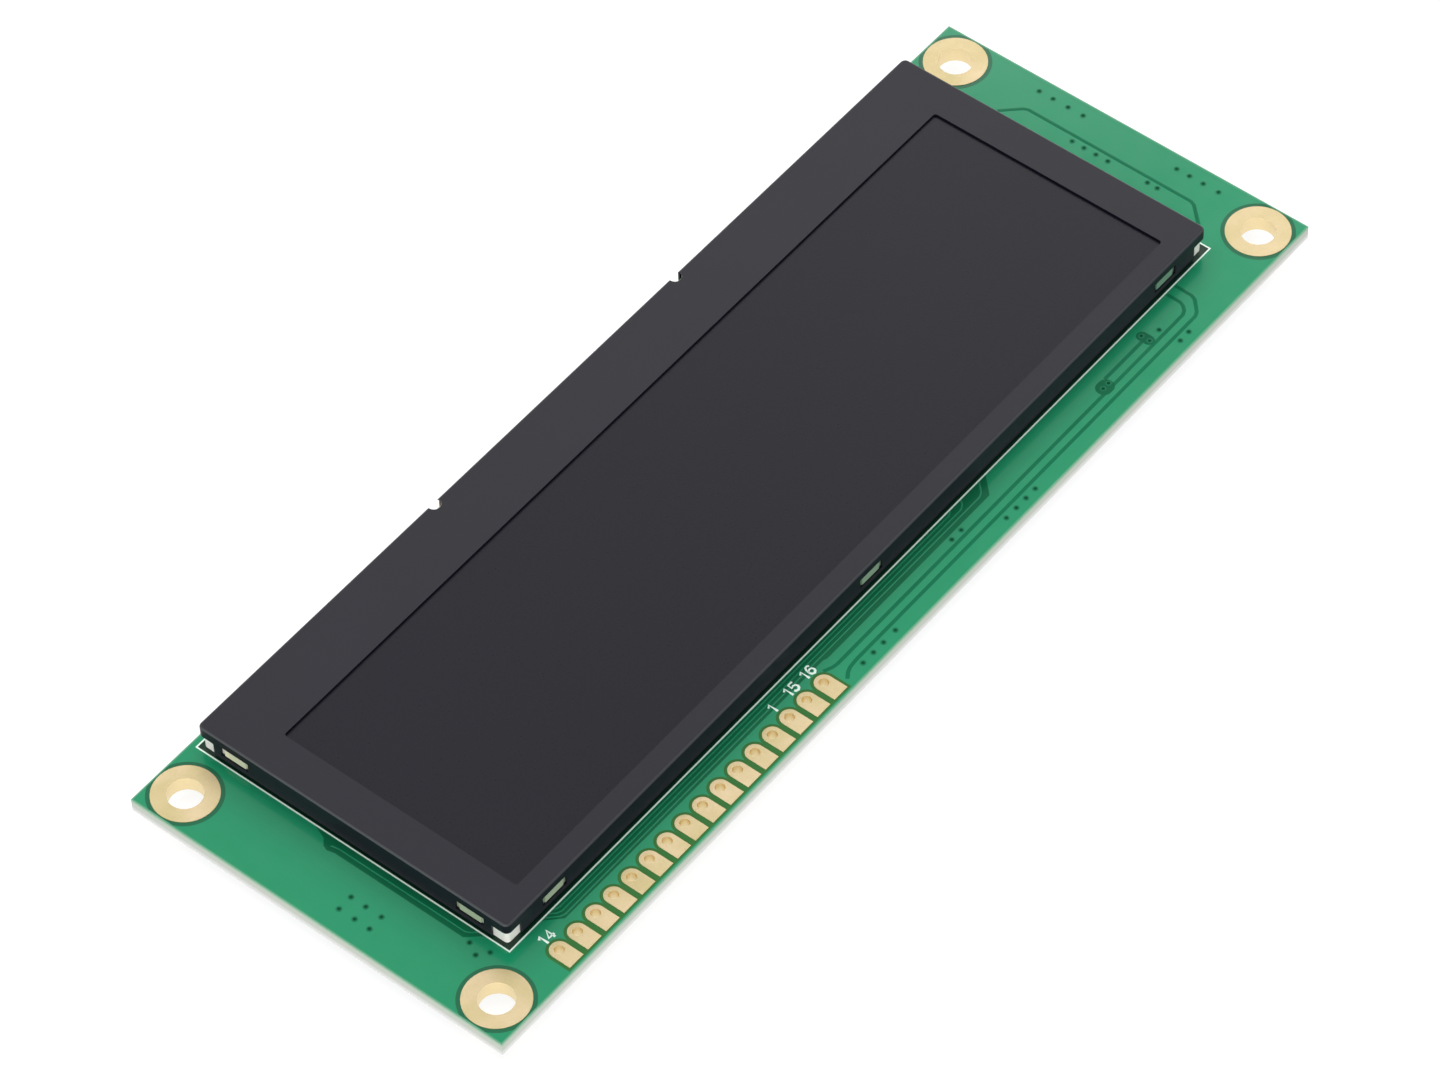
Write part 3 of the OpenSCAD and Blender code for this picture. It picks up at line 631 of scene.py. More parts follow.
# name, two tones, drift scale, grain scale, smoothest and roughest, other settings
for name, tone, second, drift, grain, gloss, more in (
        ("polariser", (12, 11, 23), (14, 13, 25), 25.0, 5000.0, (0.27, 0.31),
         {"bump": 0.03, "ior": 1.262}),
        ("silicon", (64, 66, 74), (54, 56, 64), 200.0, 3000.0, (0.12, 0.2), {"metallic": 0.6}),
        ("black_tape", (20, 20, 20), (27, 27, 28), 300.0, 2500.0, (0.6, 0.8), {"bump": 0.3}),
        ("prism_film", (214, 222, 228), (204, 213, 220), 90.0, 3000.0, (0.2, 0.3), {"bump": 0.2}),
        ("white_film", (242, 242, 238), (234, 235, 232), 90.0, 3000.0, (0.5, 0.7), {}),
        ("led_resin", (240, 222, 132), (230, 206, 104), 700.0, 3000.0, (0.25, 0.4), {}),
        ("clear_tape", (96, 98, 96), (82, 84, 82), 200.0, 1500.0, (0.45, 0.6), {"bump": 0.3}),
        ("solder", (200, 202, 204), (176, 178, 182), 700.0, 4000.0, (0.2, 0.36), {"metallic": 1.0}),
        ("tinned_metal", (204, 206, 208), (184, 186, 190), 900.0, 6000.0, (0.3, 0.45),
         {"metallic": 1.0}),
        ("black_epoxy", (40, 41, 43), (47, 48, 50), 300.0, 5200.0, (0.5, 0.68), {"bump": 0.4}),
        ("ferrite", (74, 75, 78), (62, 63, 66), 900.0, 3600.0, (0.55, 0.75), {"bump": 0.5}),
        ("plated_case", (212, 198, 158), (196, 182, 142), 500.0, 4000.0, (0.25, 0.4),
         {"metallic": 1.0}),
        ("tan_ceramic", (176, 142, 102), (160, 126, 88), 900.0, 4000.0, (0.4, 0.55), {"bump": 0.2}),
        ("black_glaze", (30, 30, 33), (38, 38, 42), 900.0, 3000.0, (0.18, 0.3), {}),
        ("white_print", (238, 255, 246), (228, 252, 238), 1500.0, 4000.0, (0.5, 0.65),
         {"bump": 0.2}),
        ("via_pit_shade", (12, 82, 54), (10, 74, 48), 900.0, 2000.0, (0.6, 0.8), {"ior": 1.1})):
    FINISHES[name] = plain(name, tone, second, drift, grain, gloss, **more)
# lacquer over single places of the copper: name, two tones, drift scale, index of refraction
for name, tone, second, drift, ior in (
        ("bare_mask", (15, 106, 70), (13, 100, 66), 200.0, 1.2),
        ("gap_mask", (15, 114, 77), (13, 109, 73), 200.0, 1.2),
        ("line_mask", (24, 138, 96), (21, 133, 91), 200.0, 1.34),
        ("raised_mask", (50, 162, 118), (44, 156, 112), 200.0, 1.45),
        ("via_rim", (20, 122, 84), (18, 116, 79), 900.0, 1.3)):
    FINISHES[name] = plain(name, tone, second, drift, LACQUER_GRAIN, LACQUER_GLOSS,
                           bump=LACQUER_BUMP, ior=ior)

for part in frame["record"]["subparts"]:
    mesh = nodes[part["node"]].data
    mesh.materials.clear()
    mesh.materials.append(FINISHES[part["material_slot"]])
white_print = FINISHES["white_print"]
bare_mask = FINISHES["bare_mask"]


# printed and etched detail on the board

PRINT_T = 0.015
GAP_W = 0.45
GAP_T = 0.006
CORNER_CUT = 0.3
ROUND_STEPS = 4
RIDGE_STEPS = 1
SEAT = 0.001
CUT_SHARE = 0.03
FINEST = 1e-7


def rectangle(x0, y0, x1, y1, z):
    """Flat rectangle at one height, left in edit mode with all of it selected."""
    clear_selection()
    middle = ((x0 + x1) / 2 * MM, (y0 + y1) / 2 * MM, z)
    bpy.ops.mesh.primitive_plane_add(size=1.0, location=middle)
    piece = bpy.context.object
    piece.scale = ((x1 - x0) * MM, (y1 - y0) * MM, 1.0)
    apply_place(piece)
    edit()
    select_all_parts()
    return piece


def printed_frame(x0, y0, x1, y1, width, out):
    """Printed rectangle outline on one face of the board."""
    piece = rectangle(x0, y0, x1, y1, FACE_OF[out])
    bpy.ops.mesh.inset(thickness=width * MM, use_even_offset=True)
    bpy.ops.mesh.delete(type="FACE")
    select_all_parts()
    pull((0.0, 0.0, out * PRINT_T * MM))
    close_edit()
    return piece


def draw_path(points):
    """Edges through points in space, drawn from one vertex; edit mode is left on."""
    clear_selection()
    bpy.ops.mesh.primitive_plane_add(size=MM, location=points[0])
    apply_place(bpy.context.object)
    edit()
    bpy.ops.mesh.select_mode(type="VERT")
    select_all_parts()
    bpy.ops.mesh.merge(type="CENTER")
    for a, b in zip(points, points[1:]):
        bpy.ops.mesh.extrude_vertices_move(TRANSFORM_OT_translate={"value": Vector(b) - Vector(a)})
    return bpy.context.object


def ridge(points, width, height, out):
    """Low rounded line along points on one face: a covered line, a gap beside one, or a stroke."""
    face = FACE_OF[out]
    draw_path([(x * MM, y * MM, face) for x, y in points])
    leave_edit()
    bpy.ops.object.convert(target="CURVE")
    curve = bpy.context.object.data
    curve.bevel_depth = width / 2 * MM
    curve.bevel_resolution = RIDGE_STEPS
    curve.use_fill_caps = True
    bpy.ops.object.convert(target="MESH")
    piece = bpy.context.object
    edit()
    select_all_parts()
    bpy.ops.mesh.remove_doubles(threshold=FINEST)
    base = (0.0, 0.0, face + out * CUT_SHARE * width * MM)
    bpy.ops.mesh.bisect(plane_co=base, plane_no=(0.0, 0.0, out), clear_inner=True, threshold=FINEST)
    bpy.ops.mesh.edge_face_add()
    select_all_parts()
    bpy.ops.transform.resize(value=(1.0, 1.0, 2 * height / width), center_override=base)
    bpy.ops.transform.translate(value=(0.0, 0.0, face - base[2] - out * SEAT * MM))
    bpy.ops.mesh.faces_shade_flat()
    close_edit()
    return piece


def cut_corners(points):
    """Points of a line with each corner cut off."""
    made = [points[0]]
    for before, corner, after in zip(points, points[1:], points[2:]):
        for other in (before, after):
            step = Vector(other) - Vector(corner)
            cut = min(CORNER_CUT, step.length / 2)
            made.append(tuple(Vector(corner) + step.normalized() * cut))
    return made + [points[-1]]


def ridges(name, lines, width, height, out):
    return join([ridge(points, width, height, out) for points in lines], name)


def patch(x0, y0, x1, y1, round_r, height, out):
    """Low plate with round corners on one face of the board."""
    piece = rectangle(x0, y0, x1, y1, FACE_OF[out] - out * SEAT * MM)
    bpy.ops.mesh.bevel(offset=round_r * MM, segments=ROUND_STEPS, affect="VERTICES")
    select_all_parts()
    pull((0.0, 0.0, out * (height + SEAT) * MM))
    close_edit()
    return piece


def plate(corners, rise):
    """Closed plate from the corners of a flat outline, pulled along a straight way."""
    piece = draw_path(corners)
    select_all_parts()
    bpy.ops.mesh.edge_face_add()
    pull(rise)
    close_edit()
    return piece


def field(points, height, out):
    """Low plate of any outline on one face of the board."""
    foot = FACE_OF[out] - out * SEAT * MM
    rise = (0.0, 0.0, out * (height + SEAT) * MM)
    return plate([(x * MM, y * MM, foot) for x, y in points], rise)


VIA_R = 0.32
VIA_T = 0.018
VIA_WALL = 0.13
VIA_PIT = 0.004
VIA_SIDES = 12


def via(out):
    """One covered through-connection: a low ring with a pit, whose floor has the second finish, a
    dark tone that is painted shade of the hole under the lacquer.
    """
    clear_selection()
    middle = FACE_OF[out] + out * VIA_T / 2 * MM
    bpy.ops.mesh.primitive_cylinder_add(vertices=VIA_SIDES, radius=VIA_R * MM, depth=VIA_T * MM,
                                        location=(0.0, 0.0, middle))
    piece = bpy.context.object
    apply_place(piece)
    edit()
    pick_faces(piece, lambda centre, normal: normal.z * out > FACING)
    bpy.ops.mesh.inset(thickness=VIA_WALL * MM)
    pull((0.0, 0.0, -out * VIA_PIT * MM))
    leave_edit()
    for face in piece.data.polygons:
        in_pit = face.center.xy.length < (VIA_R - VIA_WALL) / 2 * MM
        # pit floors take the dark second finish, painted shade of the hole under the lacquer
        face.material_index = int(in_pit and face.normal.z * out > FACING)
    return piece


def vias(name, places, out):
    spots = [((x * MM, y * MM, 0.0), 0.0, (1.0, 1.0, 1.0)) for x, y in places]
    model = via(out)
    model.data.materials.append(FINISHES["via_rim"])
    model.data.materials.append(FINISHES["via_pit_shade"])
    whole = copies(model, spots, name)
    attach(whole, BODY)


# front print

OUTLINE_W = 0.16
outline = printed_frame(-OUTLINE_X, OUTLINE_LOW, OUTLINE_X, OUTLINE_HIGH, OUTLINE_W, UP)
outline.name = "display_outline"
hand_over(outline, "solder_mask", white_print)

# strokes of the numerals, in shares of their height
STROKES = {
    "1": [(-0.2, 0.27), (0.06, 0.48), (0.06, -0.5)],
    "4": [(0.14, -0.5), (0.14, 0.46), (-0.32, -0.2), (0.34, -0.2)],
    "5": [(0.28, 0.46), (-0.2, 0.46), (-0.25, 0.03), (0.0, 0.12), (0.22, 0.02), (0.3, -0.18),
          (0.2, -0.38), (0.0, -0.48), (-0.2, -0.42), (-0.3, -0.28)],
    "6": [(0.26, 0.32), (0.12, 0.47), (-0.08, 0.45), (-0.24, 0.22), (-0.29, -0.1), (-0.22, -0.37),
          (0.0, -0.48), (0.22, -0.37), (0.29, -0.17), (0.2, 0.04), (0.0, 0.1), (-0.2, 0.02),
          (-0.27, -0.14)],
}
NUMERAL_H = 1.12
NUMERAL_STEP = 0.84
NUMERAL_W = 0.28
PIN_NUMBERS = (("14", -49.65, -17.7), ("1", -17.1, -17.62), ("15", -14.35, -17.58),
               ("16", -11.9, -17.55))


def numeral_lines(text, x, y):
    """Strokes of a number, centred on a place of the board."""
    lines = []
    for place, figure in enumerate(text):
        start = x + (place - (len(text) - 1) / 2) * NUMERAL_STEP
        lines.append([(start + px * NUMERAL_H, y + py * NUMERAL_H) for px, py in STROKES[figure]])
    return lines


number_lines = [line for text, x, y in PIN_NUMBERS for line in numeral_lines(text, x, y)]
hand_over(ridges("pin_numbers", number_lines, NUMERAL_W, PRINT_T, UP), "solder_mask", white_print)

# bare fields and gaps in the copper of the front, seen through the lacquer as darker places
BARE_T = 0.004
FRONT_FIELDS = [
    [(-52.9, 6.9), (-53.5, 5.3), (-54.2, 4.7), (-54.4, 4.2), (-54.2, 3.3), (-54.2, -11.8),
     (-52.9, -13.3)],
    [(16.9, -16.2), (15.2, -17.98), (-9.4, -17.98), (-9.9, -17.8), (-47.0, -17.68), (-48.5, -16.2)],
]
FRONT_GAPS = [
    [(54.8, 11.2), (56.76, 9.1), (56.72, -11.3), (54.7, -13.4)],
    [(45.55, -16.3), (45.55, -18.2), (44.7, -19.05), (-9.7, -19.1), (-10.9, -18.6)],
    [(46.95, -16.3), (46.9, -18.6), (45.3, -20.1), (-8.0, -20.15), (-9.3, -20.3), (-10.2, -20.9)],
    [(33.3, -17.98), (39.3, -17.98)],
]
fields = [field(points, BARE_T, UP) for points in FRONT_FIELDS]
hand_over(join(fields, "front_bare_fields"), "solder_mask", bare_mask)
gaps = [cut_corners(points) for points in FRONT_GAPS]
hand_over(ridges("front_copper_gaps", gaps, GAP_W, GAP_T, UP), "solder_mask", FINISHES["gap_mask"])

# covered lines across the bare fields
FRONT_LINES = [
    [(-53.8, 4.2), (-53.6, 3.6), (-53.6, -11.8), (-52.95, -12.5)],
    [(15.9, -16.2), (14.7, -17.38), (-46.9, -17.38), (-48.1, -16.2)],
    [(13.1, -16.2), (12.4, -16.92), (-46.8, -16.92), (-47.5, -16.2)],
    [(11.4, -16.2), (11.1, -16.48), (-46.6, -16.48), (-46.9, -16.2)],
]
FRONT_LINE_W = 0.2
LINE_T = 0.012
covered = [cut_corners(points) for points in FRONT_LINES]
covered = ridges("front_copper_lines", covered, FRONT_LINE_W, LINE_T, UP)
hand_over(covered, "solder_mask", FINISHES["line_mask"])

# bare rounds about single connections
FRONT_ROUNDS = [(31.5, -19.45, 33.5, -17.75, 0.8), (39.2, -18.95, 40.4, -17.0, 0.58)]
rounds = [patch(x0, y0, x1, y1, r, BARE_T, UP) for x0, y0, x1, y1, r in FRONT_ROUNDS]
hand_over(join(rounds, "front_bare_rounds"), "solder_mask", bare_mask)

VIA_PLACES = [
    (59.4, 9.5), (59.4, 7.8), (59.4, 5.95), (59.4, 4.1), (56.0, 2.9), (56.0, 1.45), (56.0, 0.0),
    (56.0, -1.45), (56.1, -6.2), (56.1, -7.4), (59.3, -7.4), (59.3, -8.95), (59.3, -10.6),
    (59.3, -12.45),
    (-57.0, -1.0), (-57.0, -2.75), (-57.0, -4.6), (-58.65, -1.0), (-58.65, -2.85), (-58.65, -4.6),
    (-54.3, -12.65), (-54.0, -14.8), (-55.0, -13.95), (39.8, -17.5), (41.45, -18.4), (39.8, -18.5),
    (41.6, -20.8), (43.0, -20.78), (32.25, -18.57), (33.1, -18.57), (18.45, -20.9), (17.0, -20.9),
    (15.5, -20.9), (13.95, -20.9), (10.2, -18.45), (8.75, -18.45), (-3.0, -20.9), (-4.8, -20.9),
    (-6.3, -20.9), (-7.85, -20.9),
]
vias("front_vias", VIA_PLACES, UP)


# rear: covered copper lines, with a bare gap on both sides

LINE_W = 0.28
POWER_W = 0.5
MARGIN = 0.24
BUS_LOW = -12.7
BUS_PITCH = 0.36
BUS_LINES = 8
RESISTOR_TOP = -13.3
RESISTOR_FOOT = -15.0
PAD_TOP = -18.3
STUB_END = -15.8
FIRST_STUB_END = -11.4
# ends of the leads of the controller and of the memory
LEFT_TOE = 15.4
RIGHT_TOE = 24.6
BOTTOM_TOE = -4.6
TOP_TOE = 4.6
MEMORY_TOE = 3.0
# joints of the flexible circuit, the row of capacitors by them, and joints with short lines
JOINT_Y = 15.0
CAPACITOR_Y = 12.6
SPARE_JOINTS = (-3.5, -2.7, -1.9, -1.1, -0.3)
SPARE_END = 9.2
SPARE_STEP = 0.7
# turning place of each data line along the bus, and the leads that the first ones go to
BUS_TURN = (9.5, 9.95, 10.4, 17.25, 17.75, 18.25, 22.25, 22.75)
LEFT_LEADS = (-1.75, -2.25, -2.75)


def pad_x(index):
    return PAD_FIRST + index * PAD_PITCH


def data_line(k):
    """Line from the k-th series resistor along the bus to the controller."""
    x = pad_x(k + 1)
    y = BUS_LOW + BUS_PITCH * (BUS_LINES - 1 - k)
    points = [(x, RESISTOR_TOP), (x, y), (BUS_TURN[k], y)]
    if k < len(LEFT_LEADS):
        return points + [(BUS_TURN[k], LEFT_LEADS[k]), (LEFT_TOE, LEFT_LEADS[k])]
    return points + [(BUS_TURN[k], BOTTOM_TOE)]


# lines whose last point is a through-connection
OPEN_LINES = [[(pad_x(k), PAD_TOP), (pad_x(k), STUB_END - k % 2)]
              for k in range(BUS_LINES + 1, PAD_COUNT)]
OPEN_LINES += [[(x, JOINT_Y), (x, SPARE_END + SPARE_STEP * k)] for k, x in enumerate(SPARE_JOINTS)]
OPEN_LINES += [
    [(pad_x(0), PAD_TOP), (pad_x(0), FIRST_STUB_END)],
    [(0.095, MEMORY_TOE), (0.095, 5.8)], [(0.095, -MEMORY_TOE), (0.095, -5.6)],
    [(22.75, TOP_TOE), (22.75, 6.0), (24.75, 8.0), (30.0, 8.0)],
    [(22.25, TOP_TOE), (22.25, 6.4), (24.55, 8.7), (30.0, 8.7)],
    [(21.75, TOP_TOE), (21.75, 6.8), (24.35, 9.4), (30.0, 9.4)],
    [(RIGHT_TOE, 2.75), (25.5, 2.75), (28.0, 5.25), (34.0, 5.25)],
]
OPEN_POWER_LINES = [
    [(-38.0, 3.3), (-38.0, 5.3)], [(-38.0, -3.3), (-38.0, -5.3)], [(-30.9, 4.4), (-28.6, 4.4)],
]
REAR_LINES = OPEN_LINES + [data_line(k) for k in range(BUS_LINES)]
REAR_LINES += [[(pad_x(k + 1), PAD_TOP), (pad_x(k + 1), RESISTOR_FOOT)] for k in range(BUS_LINES)]
REAR_LINES += [
    # memory to controller, its capacitor and its resistor
    [(3.905, MEMORY_TOE), (3.905, 3.5), (12.0, 3.5), (13.25, 2.25), (LEFT_TOE, 2.25)],
    [(3.905, -MEMORY_TOE), (3.905, -3.5), (5.4, -3.5), (7.6, -1.3), (7.6, -0.75),
     (LEFT_TOE, -0.75)],
    [(2.635, MEMORY_TOE), (2.8, 3.6)], [(1.365, MEMORY_TOE), (1.2, 3.6)],
    [(2.635, -MEMORY_TOE), (2.64, -3.8)], [(1.365, -MEMORY_TOE), (1.36, -3.8)],
    # flexible circuit to controller
    [(12.5, JOINT_Y), (12.5, 12.6), (17.25, 7.85), (17.25, TOP_TOE)],
    [(13.3, JOINT_Y), (13.3, 12.8), (17.75, 8.35), (17.75, TOP_TOE)],
    [(14.1, JOINT_Y), (14.1, 13.0), (18.25, 8.85), (18.25, TOP_TOE)],
    # flexible circuit to its row of capacitors
    [(-11.5, JOINT_Y), (-11.5, 13.4), (-11.1, 13.0), (-11.1, CAPACITOR_Y)],
    [(-9.1, JOINT_Y), (-9.1, 13.4), (-9.5, 13.0), (-9.5, CAPACITOR_Y)],
    [(-6.7, JOINT_Y), (-6.7, CAPACITOR_Y)], [(-5.1, JOINT_Y), (-5.1, CAPACITOR_Y)],
    [(2.1, JOINT_Y), (2.1, CAPACITOR_Y)], [(3.7, JOINT_Y), (3.7, CAPACITOR_Y)],
    [(6.1, JOINT_Y), (6.1, 13.4), (6.5, 13.0), (6.5, CAPACITOR_Y)],
    [(8.5, JOINT_Y), (8.5, 13.4), (8.1, 13.0), (8.1, CAPACITOR_Y)],
    # controller to crystal
    [(RIGHT_TOE, 1.75), (27.0, 1.75), (27.6, 1.15), (28.1, 1.15)],
    [(RIGHT_TOE, -1.75), (27.0, -1.75), (27.6, -1.15), (28.1, -1.15)],
    [(27.75, 1.2), (27.75, 2.8), (28.4, 2.8)], [(27.75, -1.2), (27.75, -2.8), (28.4, -2.8)],
    # sensing line of the lamp supply
    [(-31.1, -4.4), (-28.9, -4.4)],
    [(-27.1, -4.4), (-26.4, -4.4), (-25.2, -3.2), (-25.2, -2.0), (-24.8, -2.0)],
]
POWER_LINES = OPEN_POWER_LINES + [
    [(-34.3, 0.0), (-38.2, 0.0)], [(-38.0, 1.3), (-38.0, -1.3)],
    [(-43.05, -4.1), (-43.05, -1.5), (-41.55, 0.0), (-37.9, 0.0)],
    [(-43.05, 4.1), (-43.05, 1.5), (-41.55, 0.0)],
    [(-29.7, 0.0), (-26.0, 0.0)],
    [(-22.0, 0.0), (-20.0, 0.0), (-17.1, 2.9), (-17.1, JOINT_Y)],
    [(-23.1, -2.0), (-20.4, -2.0), (-16.3, 2.1), (-16.3, JOINT_Y)],
    [(-21.9, 0.2), (-21.9, 2.0), (-22.9, 2.0)],
    [(-33.1, 4.4), (-34.6, 4.4), (-36.2, 2.8), (-36.2, 0.2)],
]
rear_lines = [cut_corners(points) for points in REAR_LINES]
power_lines = [cut_corners(points) for points in POWER_LINES]
gaps = [ridge(points, LINE_W + MARGIN, BARE_T, DOWN) for points in rear_lines]
gaps += [ridge(points, POWER_W + MARGIN, BARE_T, DOWN) for points in power_lines]
hand_over(join(gaps, "rear_copper_gaps"), "solder_mask", bare_mask)
lines = [ridge(points, LINE_W, LINE_T, DOWN) for points in rear_lines]
lines += [ridge(points, POWER_W, LINE_T, DOWN) for points in power_lines]
hand_over(join(lines, "rear_copper_lines"), "solder_mask", FINISHES["raised_mask"])

line_ends = [points[-1] for points in OPEN_LINES + OPEN_POWER_LINES]
vias("rear_vias", VIA_PLACES + line_ends, DOWN)


# rear: solder

LAND_T = 0.02
LAND_EXTRA = 0.12
LAND_LENGTH = 1.0
LAND_BEYOND = 0.25
LAND_ROUND = 0.16
LAND_RIM = 0.08
UNIT_HALF = 0.5
FILLET_SHARE = 0.6
FILLET_REACH = 0.34
# outline of a fillet in shares of its reach and height
FILLET_CURVE = ((0.0, 0.0), (1.0, 0.0), (1.0, 0.08), (0.55, 0.17), (0.26, 0.36), (0.1, 0.66),
                (0.0, 1.0))


def outward(end, owners):
    """Direction, in quarter turns, from the nearest owner's middle to the middle of an end."""
    middle = (end[0] + end[1]) / 2
    nearest = min(((low + high) / 2 for low, high in owners), key=lambda c: (c - middle).length)
    away = (middle - nearest).xy
    if abs(away.x) > abs(away.y):
        return 0 if away.x > 0 else 2
    return 1 if away.y > 0 else 3


def outer_spot(end, turn):
    """Middle of the outer side of an end, and the end's width along that side."""
    low, high = end
    middle = (low + high) / 2
    x = {0: high.x, 2: low.x}.get(turn, middle.x)
    y = {1: high.y, 3: low.y}.get(turn, middle.y)
    return Vector((x, y)), (high.x - low.x if turn % 2 else high.y - low.y)


def land_model():
    """Thin solder plate, one millimetre square, with its corners and rim rounded."""
    piece = patch(-UNIT_HALF, -UNIT_HALF, UNIT_HALF, UNIT_HALF, LAND_ROUND, LAND_T, DOWN)
    edit()
    pick_faces(piece, lambda centre, normal: normal.z * DOWN > FACING)
    bpy.ops.mesh.inset(thickness=LAND_RIM * MM)
    bpy.ops.transform.translate(value=(0.0, 0.0, -LAND_T / 2 * MM))
    leave_edit()
    return piece


def fillet_model():
    """Hollow-sided solder fillet at the end of a part, one millimetre long, wide and high."""
    return plate([(x * MM, -MM / 2, REAR - z * MM) for x, z in FILLET_CURVE], (0.0, MM, 0.0))


QUARTER = math.pi / 2
LEAD_NODES = (("controller_leads", "controller_chip"), ("memory_leads", "memory_chip"),
              ("regulator_leads", "regulators"), ("rectifier_leads", "rectifier"),
              ("inductor_feet", "power_inductor"))
END_NODES = (("capacitor_ends", "capacitor_bodies"), ("resistor_ends", "resistor_bodies"))


def land_places():
    for leads, chips in LEAD_NODES:
        owners = solid_boxes(chips)
        for end in solid_boxes(leads):
            turn = outward(end, owners)
            spot, width = outer_spot(end, turn)
            shift = LAND_BEYOND - LAND_LENGTH / 2
            place = spot + Matrix.Rotation(turn * QUARTER, 2) @ Vector((shift, 0.0))
            size = (LAND_LENGTH, width + LAND_EXTRA, 1.0)
            yield (place.x * MM, place.y * MM, 0.0), turn * QUARTER, size


def fillet_places():
    for ends, bodies in END_NODES:
        owners = solid_boxes(bodies)
        for end in solid_boxes(ends):
            turn = outward(end, owners)
            spot, width = outer_spot(end, turn)
            height = (end[1].z - end[0].z) * FILLET_SHARE
            yield (spot.x * MM, spot.y * MM, 0.0), turn * QUARTER, (FILLET_REACH, width, height)


hand_over(copies(land_model(), land_places(), "solder_lands"), "solder", FINISHES["solder"])
hand_over(copies(fillet_model(), fillet_places(), "solder_fillets"), "solder", FINISHES["solder"])


# rear print

PART_LINE_W = 0.15
DOT_R = 0.3
DOT_ROUND = 0.98
# corners of the printed rectangle round each part, and the dot by its first lead
PART_OUTLINES = [
    (15.05, -4.95, 24.95, 4.95), (-0.75, -3.35, 4.75, 3.35), (-34.75, -2.6, -29.25, 2.6),
    (27.95, -1.95, 30.85, 1.95), (-45.85, -8.1, -42.15, -3.9), (-45.85, 3.9, -42.15, 8.1),
    (-26.45, -1.15, -21.55, 1.15),
]
FIRST_DOTS = [(14.5, 5.4), (-1.3, -3.0), (-46.4, -4.5), (-46.4, 7.5), (-21.1, 0.9)]
outlines = [printed_frame(*corners, PART_LINE_W, DOWN) for corners in PART_OUTLINES]
hand_over(join(outlines, "part_outlines"), "solder_mask", white_print)
dots = [patch(x - DOT_R, y - DOT_R, x + DOT_R, y + DOT_R, DOT_R * DOT_ROUND, PRINT_T, DOWN)
        for x, y in FIRST_DOTS]
hand_over(join(dots, "first_lead_dots"), "solder_mask", white_print)


# camera, light and floor

CAMERA_PLACE = (-297.602, -250.564, 474.802)
CAMERA_AZIMUTH = math.radians(-49.62)
CAMERA_RISE = math.radians(50.89)
CAMERA_ROLL = math.radians(2.057)
CAMERA_LENS = 162.94
FILM_W = 36.0
CLIP_START = 0.01


def place_camera():
    back = Vector((math.sin(CAMERA_AZIMUTH) * math.cos(CAMERA_RISE),
                   -math.cos(CAMERA_AZIMUTH) * math.cos(CAMERA_RISE), math.sin(CAMERA_RISE)))
    right = (-back).cross(Vector((0.0, 0.0, 1.0))).normalized()
    down = (-back).cross(right)
    cos, sin = math.cos(CAMERA_ROLL), math.sin(CAMERA_ROLL)
    across = cos * right + sin * down
    below = cos * down - sin * right
    data = bpy.data.cameras.new("camera")
    data.sensor_width = FILM_W
    data.lens = CAMERA_LENS
    data.clip_start = CLIP_START
    camera = bpy.data.objects.new("camera", data)
    turn = Matrix((across, -below, back)).transposed().to_4x4()
    camera.matrix_world = Matrix.Translation(Vector(CAMERA_PLACE) * MM) @ turn
    bpy.context.scene.collection.objects.link(camera)
    bpy.context.scene.camera = camera


def soft_light(name, turn, rise, distance, size, level):
    """Soft light aimed at the object; level is the brightness of its face, where 1 is white."""
    a, e = math.radians(turn), math.radians(rise)
    place = Vector((math.cos(a) * math.cos(e), math.sin(a) * math.cos(e), math.sin(e))) * distance
    data = bpy.data.lights.new(name, "AREA")
    data.shape = "RECTANGLE"
    data.size, data.size_y = size
    data.energy = math.pi * size[0] * size[1] * level
    light = bpy.data.objects.new(name, data)
    light.location = place
    light.rotation_euler = (-place).to_track_quat("-Z", "Y").to_euler()
    bpy.context.scene.collection.objects.link(light)


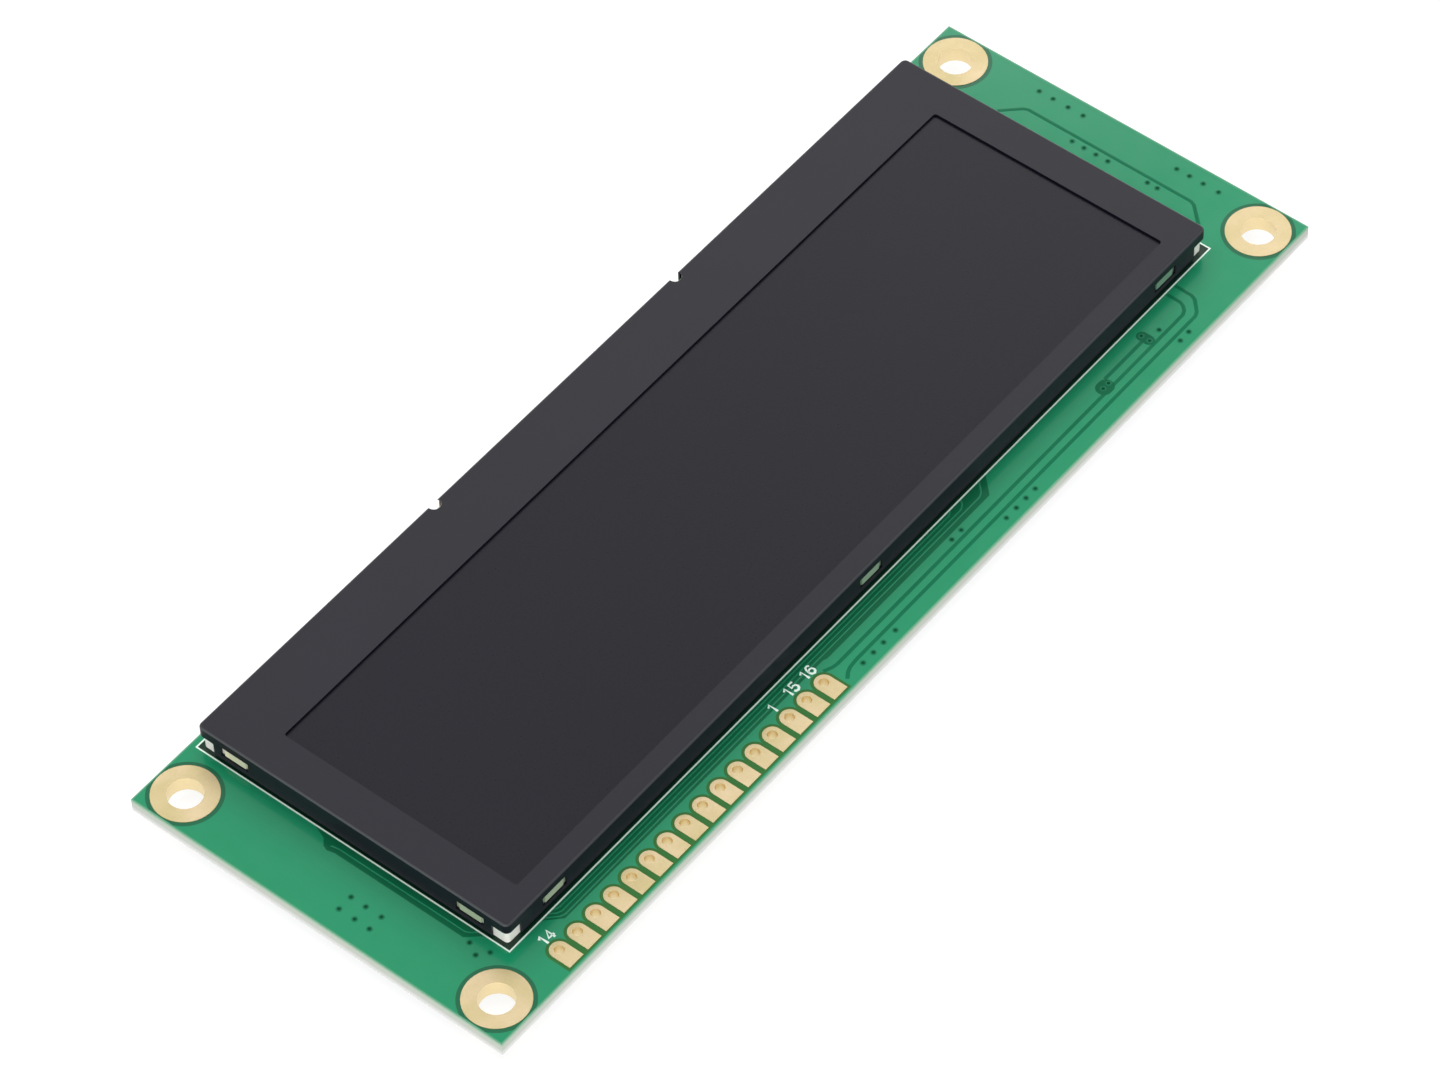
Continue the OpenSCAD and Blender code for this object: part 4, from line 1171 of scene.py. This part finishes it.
FLOOR_TONE = (0.3, 0.3, 0.3, 1.0)
FLOOR_GLOW = 0.86
FLOOR_SIZE = 3.0
FLOOR_ROUGHNESS = 0.9


def seen_directly(tree):
    """One for rays from the camera, a reflection or clear material, none for scattered light."""
    path = add(tree, "ShaderNodeLightPath").outputs
    seen = maths(tree, "MAXIMUM", path["Is Camera Ray"], path["Is Glossy Ray"])
    return maths(tree, "MAXIMUM", seen, path["Is Transmission Ray"])


def make_floor_white():
    """White for the camera and in reflections, a plain pale surface for light that falls on it."""
    material = bpy.data.materials.new("floor_white")
    material.use_nodes = True
    tree = material.node_tree
    shader = tree.nodes["Principled BSDF"]
    set_input(shader, "Base Color", FLOOR_TONE)
    set_input(shader, "Roughness", FLOOR_ROUGHNESS)
    set_input(shader, "Specular IOR Level", 0.0)
    set_input(shader, "Emission Color", WHITE)
    glow = maths(tree, "MULTIPLY", seen_directly(tree), FLOOR_GLOW)
    tree.links.new(glow, shader.inputs["Emission Strength"])
    return material


def lay_floor():
    clear_selection()
    bpy.ops.mesh.primitive_plane_add(size=FLOOR_SIZE, location=(0.0, 0.0, LOWEST))
    floor = bpy.context.object
    floor.name = "floor"
    floor.data.materials.append(make_floor_white())


def light_world(level):
    """Even surroundings, seen by the camera and in reflections as plain white."""
    world = bpy.data.worlds.new("studio")
    world.use_nodes = True
    tree = world.node_tree
    shade = tree.nodes["Background"]
    set_input(shade, "Color", WHITE)
    seen = seen_directly(tree)
    tree.links.new(remap(tree, seen, 0.0, 1.0, level, 1.0), shade.inputs["Strength"])
    bpy.context.scene.world = world


WORLD_LEVEL = 0.37
# name, turn and rise in degrees, distance and size in metres, brightness of the light's face
LIGHTS = (
    ("far_light", 37.0, 31.0, 1.6, (1.6, 0.8), 3.2),
    ("left_light", 100.0, 58.0, 1.0, (0.75, 0.75), 1.85),
    ("right_light", 350.0, 60.0, 1.6, (1.2, 1.2), 1.6),
    ("front_fill", 222.0, 8.0, 1.0, (1.2, 0.25), 7.8),
)
place_camera()
lay_floor()
light_world(WORLD_LEVEL)
for light in LIGHTS:
    soft_light(*light)
bpy.context.scene.view_settings.view_transform = "Standard"
